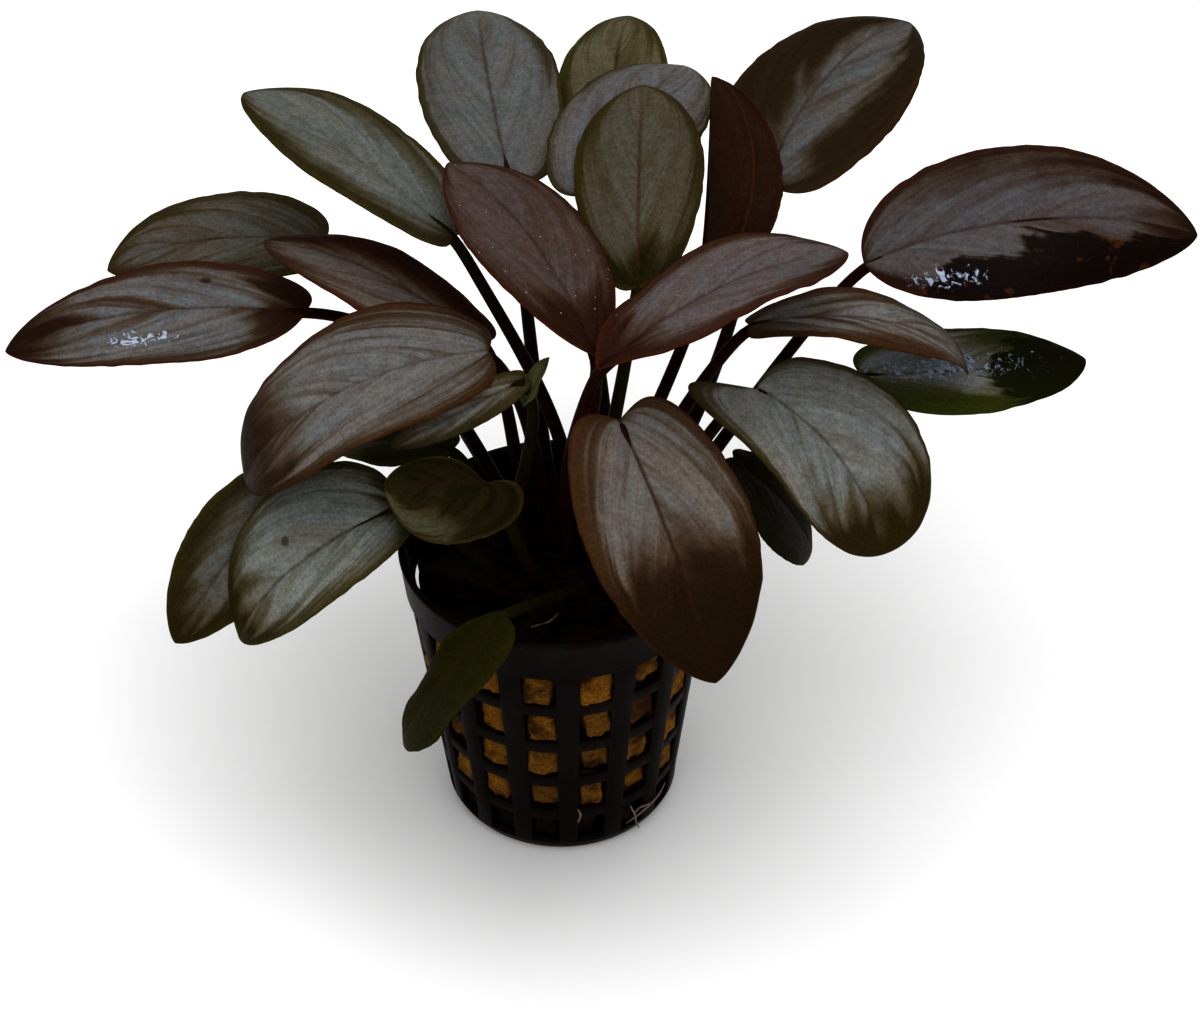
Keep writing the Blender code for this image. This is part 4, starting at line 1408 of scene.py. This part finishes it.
def build_blade(leaf, number, settings):
    """The blade is a grid laid on the leaf's surface, given its thickness."""
    spine = Spine(leaf)

    def place(u, v):
        share, across = eased(u), 1.0 - 2.0 * v
        point, normal = blade_point(leaf, spine, share, across)
        return point + normal * relief(leaf, number, share, across, settings)

    blade = shaped_grid(leaf.name + "_blade", settings.steps_along, settings.steps_across, place)
    spots = {}
    for loop, spot in zip(blade.data.loops, blade.data.uv_layers[0].uv):
        share, across = eased(spot.vector.x), 1.0 - 2.0 * spot.vector.y
        spots[loop.vertex_index] = (share, across)
        spot.vector = (share, (across + 1.0) / 2.0)
    halves = []
    for index in range(len(spots)):
        share, across = spots[index]
        halves.append(half_width(leaf, share) * (1.0 + leaf.lean * (1.0 if across >= 0 else -1.0)))
    margins = [(1.0 - abs(spots[index][1])) * half for index, half in enumerate(halves)]
    mark(blade, "half_width", halves)
    mark(blade, "from_margin", margins)
    body = blade.vertex_groups.new(name="body")
    for index, margin in enumerate(margins):
        body.add([index], min(margin / THIN_MARGIN, 1.0), "REPLACE")
    edit(blade, weld)
    apply_modifier(
        blade, "Thickness", "SOLIDIFY", thickness=settings.thickness, offset=0.0,
        vertex_group="body", thickness_vertex_group=MARGIN_THICKNESS, material_offset=1,
    )
    blade.vertex_groups.clear()
    return blade, spine


def stalk_knots(leaf, spine):
    """The stalk rises square to the crown and arrives nearly in line with the blade."""
    ring, number = leaf.place
    degrees, count = CROWN_RINGS[ring]
    tilt, heading = radians(degrees), 2 * pi * number / count
    away = round_axis(sin(tilt), heading, cos(tilt))
    foot = crown_centre() + away * (CROWN_RADIUS - STALK_FOOT_DEPTH)
    top, blade_way = bezier(spine.knots, 0.0)
    reach = (top - foot).length * STALK_REACH
    arrival = ((top - foot).normalized() + blade_way * STALK_ARRIVAL).normalized()
    bow = Vector(leaf.bow)
    return foot, foot + away * reach + bow, top - arrival * reach + bow, top


def stalk_line(leaf, spine):
    """Centre points and radii along the stalk and then under the midrib, in millimetres."""
    knots = stalk_knots(leaf, spine)
    points, radii = [], []
    for step in range(STALK_STEPS + 1):
        t = step / STALK_STEPS
        points.append(bezier(knots, t)[0])
        radii.append(STALK_RADIUS - STALK_TAPER * t + SHEATH * exp(-((t / SHEATH_STATION) ** 2)))
    for step in range(1, MIDRIB_STEPS + 1):
        share = MIDRIB_END * step / MIDRIB_STEPS
        radius = MIDRIB_RADIUS * (1.0 - share) ** 0.8 * exp(-share * 2.2) + MIDRIB_LEAST
        point, normal = blade_point(leaf, spine, share, 0.0)
        sink = (radius + 0.02) * min(share / 0.07, 1.0)
        points.append(point - normal * sink)
        radii.append(radius)
    bend = slice(STALK_STEPS - BEND_STEPS + 1, STALK_STEPS + BEND_STEPS)
    for _ in range(BEND_ROUNDS):
        eased_points = [(a + b * 2 + c) / 4 for a, b, c in zip(points, points[1:], points[2:])]
        points[bend] = eased_points[bend.start - 1 : bend.stop - 1]
    return points, radii


def build_leaf(leaf, number, settings, face_group, backs, stalks):
    """One leaf: the blade with its stalk running on under it as the midrib."""
    blade, spine = build_blade(leaf, number, settings)
    points, radii = stalk_line(leaf, spine)
    stalk = tube(leaf.name + "_stalk", points, radii, STALK_SIDES)
    give(blade, leaf_face(leaf, face_group, number), backs[leaf.skin], stalks[leaf.skin])
    give(stalk, stalks[leaf.skin])
    pieces = [blade, stalk]
    ear = EARS.get(leaf.name)
    if ear:
        flap, _ = build_blade(ear, number, settings)
        give(flap, leaf_face(ear, face_group, number), backs[ear.skin])
        pieces.append(flap)
    settle(joined(pieces, leaf.name + "_grown"), "leaf_" + leaf.skin, leaf.name)


class LAGENANDRA_OT_leaves(bpy.types.Operator):
    """Grows every leaf with its stalk"""

    bl_idname = "lagenandra.leaves"
    bl_label = "Leaves"

    def execute(self, context):
        settings = context.scene.lagenandra_leaf
        face_group = leaf_skin_group(settings.veins)
        backs = {skin: leaf_back(skin, settings.veins) for skin in SKINS}
        stalks = {skin: stalk_skin(skin) for skin in SKINS}
        for number, leaf in enumerate(LEAVES, start=1):
            build_leaf(leaf, number, settings, face_group, backs, stalks)
        return {"FINISHED"}


def smooth_line(points, steps):
    """A smooth curve through a few points, as many short steps."""
    points = [Vector(p) for p in points]
    padded = [points[0] * 2 - points[1]] + points + [points[-1] * 2 - points[-2]]
    line = []
    for a, b, c, d in zip(padded, padded[1:], padded[2:], padded[3:]):
        knots = (b, b + (c - a) / 6, c - (d - b) / 6, c)
        line += [bezier(knots, step / steps)[0] for step in range(steps)]
    return line + [points[-1]]


class LAGENANDRA_OT_roots(bpy.types.Operator):
    """Lays the roots that show"""

    bl_idname = "lagenandra.roots"
    bl_label = "Roots"

    def execute(self, context):
        skin = root_skin()
        for name, (radius, *rows) in ROOTS.items():
            strands = []
            for row in rows:
                line = smooth_line(row, ROOT_STEPS)
                last = len(line) - 1
                radii = [radius * (1.0 - ROOT_TAPER * abs(2 * k / last - 1) ** 3) for k in range(last + 1)]
                strands.append(tube(name + "_strand", line, radii, ROOT_SIDES))
            piece = joined(strands, name + "_strand")
            give(piece, skin)
            settle(piece, "root", name)
        return {"FINISHED"}


def add_table(colour):
    deselect()
    bpy.ops.mesh.primitive_plane_add(size=TABLE_SIZE)
    table = named("table")
    made, web, shader = new_material("table")
    web.feed(shader["Base Color"], tuple(colour))
    shader["Roughness"].default_value = 0.9
    shader["Specular IOR Level"].default_value = 0.1
    give(table, made)


def add_area_light(name, place, size, power):
    deselect()
    bpy.ops.object.light_add(type="AREA", location=place)
    light = bpy.context.object
    light.name = name
    light.data.shape = "RECTANGLE"
    light.data.size, light.data.size_y = size
    light.data.energy = power
    light.rotation_euler = (Vector(LIGHT_AIM) - Vector(place)).to_track_quat("-Z", "Y").to_euler()


def add_camera(settings):
    """The camera looks down at the plant from the front, at the photograph's angle."""
    way = Vector((0.0, cos(settings.tilt), -sin(settings.tilt)))
    deselect()
    bpy.ops.object.camera_add(location=CAMERA_AIM - way * CAMERA_DISTANCE)
    camera = bpy.context.object
    turn = Matrix.Rotation(CAMERA_LEAN, 3, way) @ way.to_track_quat("-Z", "Y").to_matrix()
    camera.rotation_euler = turn.to_euler()
    camera.data.lens = settings.lens
    camera.data.sensor_width = SENSOR_WIDTH
    camera.data.clip_start = 0.01
    bpy.context.scene.camera = camera


def light_sky(strength):
    """Even light from all round. Gloss sees it dim near the floor and in front, as under a studio tent."""
    world = bpy.data.worlds.new("sky")
    bpy.context.scene.world = world
    world.use_nodes = True
    world.node_tree.nodes.clear()
    web = Web(world.node_tree)
    way = web.parts(web.node("ShaderNodeTexCoord").outputs["Generated"])
    tent = web.ramp(way[2], 0.05, 0.75, 0.12, 1.0)
    tent = web.times(tent, web.ramp(way[1], -0.9, 0.1, 0.3, 1.0))
    rays = web.node("ShaderNodeLightPath").outputs
    tone = strength
    for ray, seen in (("Is Glossy Ray", tent), ("Is Camera Ray", 1.0)):
        tone = web.node("ShaderNodeMix", {0: rays[ray], 2: tone, 3: seen}, data_type="FLOAT").outputs[0]
    back = web.node("ShaderNodeBackground", {"Color": (1.0, 1.0, 1.0), "Strength": tone})
    web.node("ShaderNodeOutputWorld", {0: back.outputs[0]})


class LAGENANDRA_OT_stage(bpy.types.Operator):
    """Sets the plant on a pale table under soft light, with the camera in front"""

    bl_idname = "lagenandra.stage"
    bl_label = "Table, light and camera"

    def execute(self, context):
        settings = context.scene.lagenandra_stage
        add_table(settings.table)
        light_sky(settings.sky)
        add_area_light("ceiling", (0.0, 0.15, 1.2), (1.2, 1.0), settings.key)
        add_area_light("front", (0.1, -0.7, 1.0), (1.0, 0.7), settings.key * 0.35)
        add_camera(settings)
        context.scene.view_settings.view_transform = "Standard"
        context.scene.view_settings.gamma = settings.contrast
        return {"FINISHED"}


class LAGENANDRA_PT_panel(bpy.types.Panel):
    """Lists the steps in the order they are run"""

    bl_label = "Potted lagenandra"
    bl_space_type = "VIEW_3D"
    bl_region_type = "UI"
    bl_category = "Lagenandra"

    def draw(self, context):
        for step in STEPS:
            self.layout.operator(step.bl_idname)
        for name in SETTINGS:
            group = getattr(context.scene, name)
            for label in group.__annotations__:
                self.layout.prop(group, label)


STEPS = (
    LAGENANDRA_OT_stage,
    LAGENANDRA_OT_pot,
    LAGENANDRA_OT_wool,
    LAGENANDRA_OT_crown,
    LAGENANDRA_OT_leaves,
    LAGENANDRA_OT_roots,
)

SETTINGS = {
    "lagenandra_pot": PotSettings,
    "lagenandra_wool": WoolSettings,
    "lagenandra_leaf": LeafSettings,
    "lagenandra_stage": StageSettings,
}

CLASSES = (*SETTINGS.values(), *STEPS, LAGENANDRA_PT_panel)


def register():
    for made in CLASSES:
        bpy.utils.register_class(made)
    for name, kind in SETTINGS.items():
        setattr(bpy.types.Scene, name, PointerProperty(type=kind))


def unregister():
    for name in SETTINGS:
        delattr(bpy.types.Scene, name)
    for made in reversed(CLASSES):
        bpy.utils.unregister_class(made)


def main():
    register()
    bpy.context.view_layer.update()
    bpy.ops.lagenandra.stage()
    bpy.ops.lagenandra.pot()
    bpy.ops.lagenandra.wool()
    bpy.ops.lagenandra.crown()
    bpy.ops.lagenandra.leaves()
    bpy.ops.lagenandra.roots()


if __name__ == "__main__":
    main()
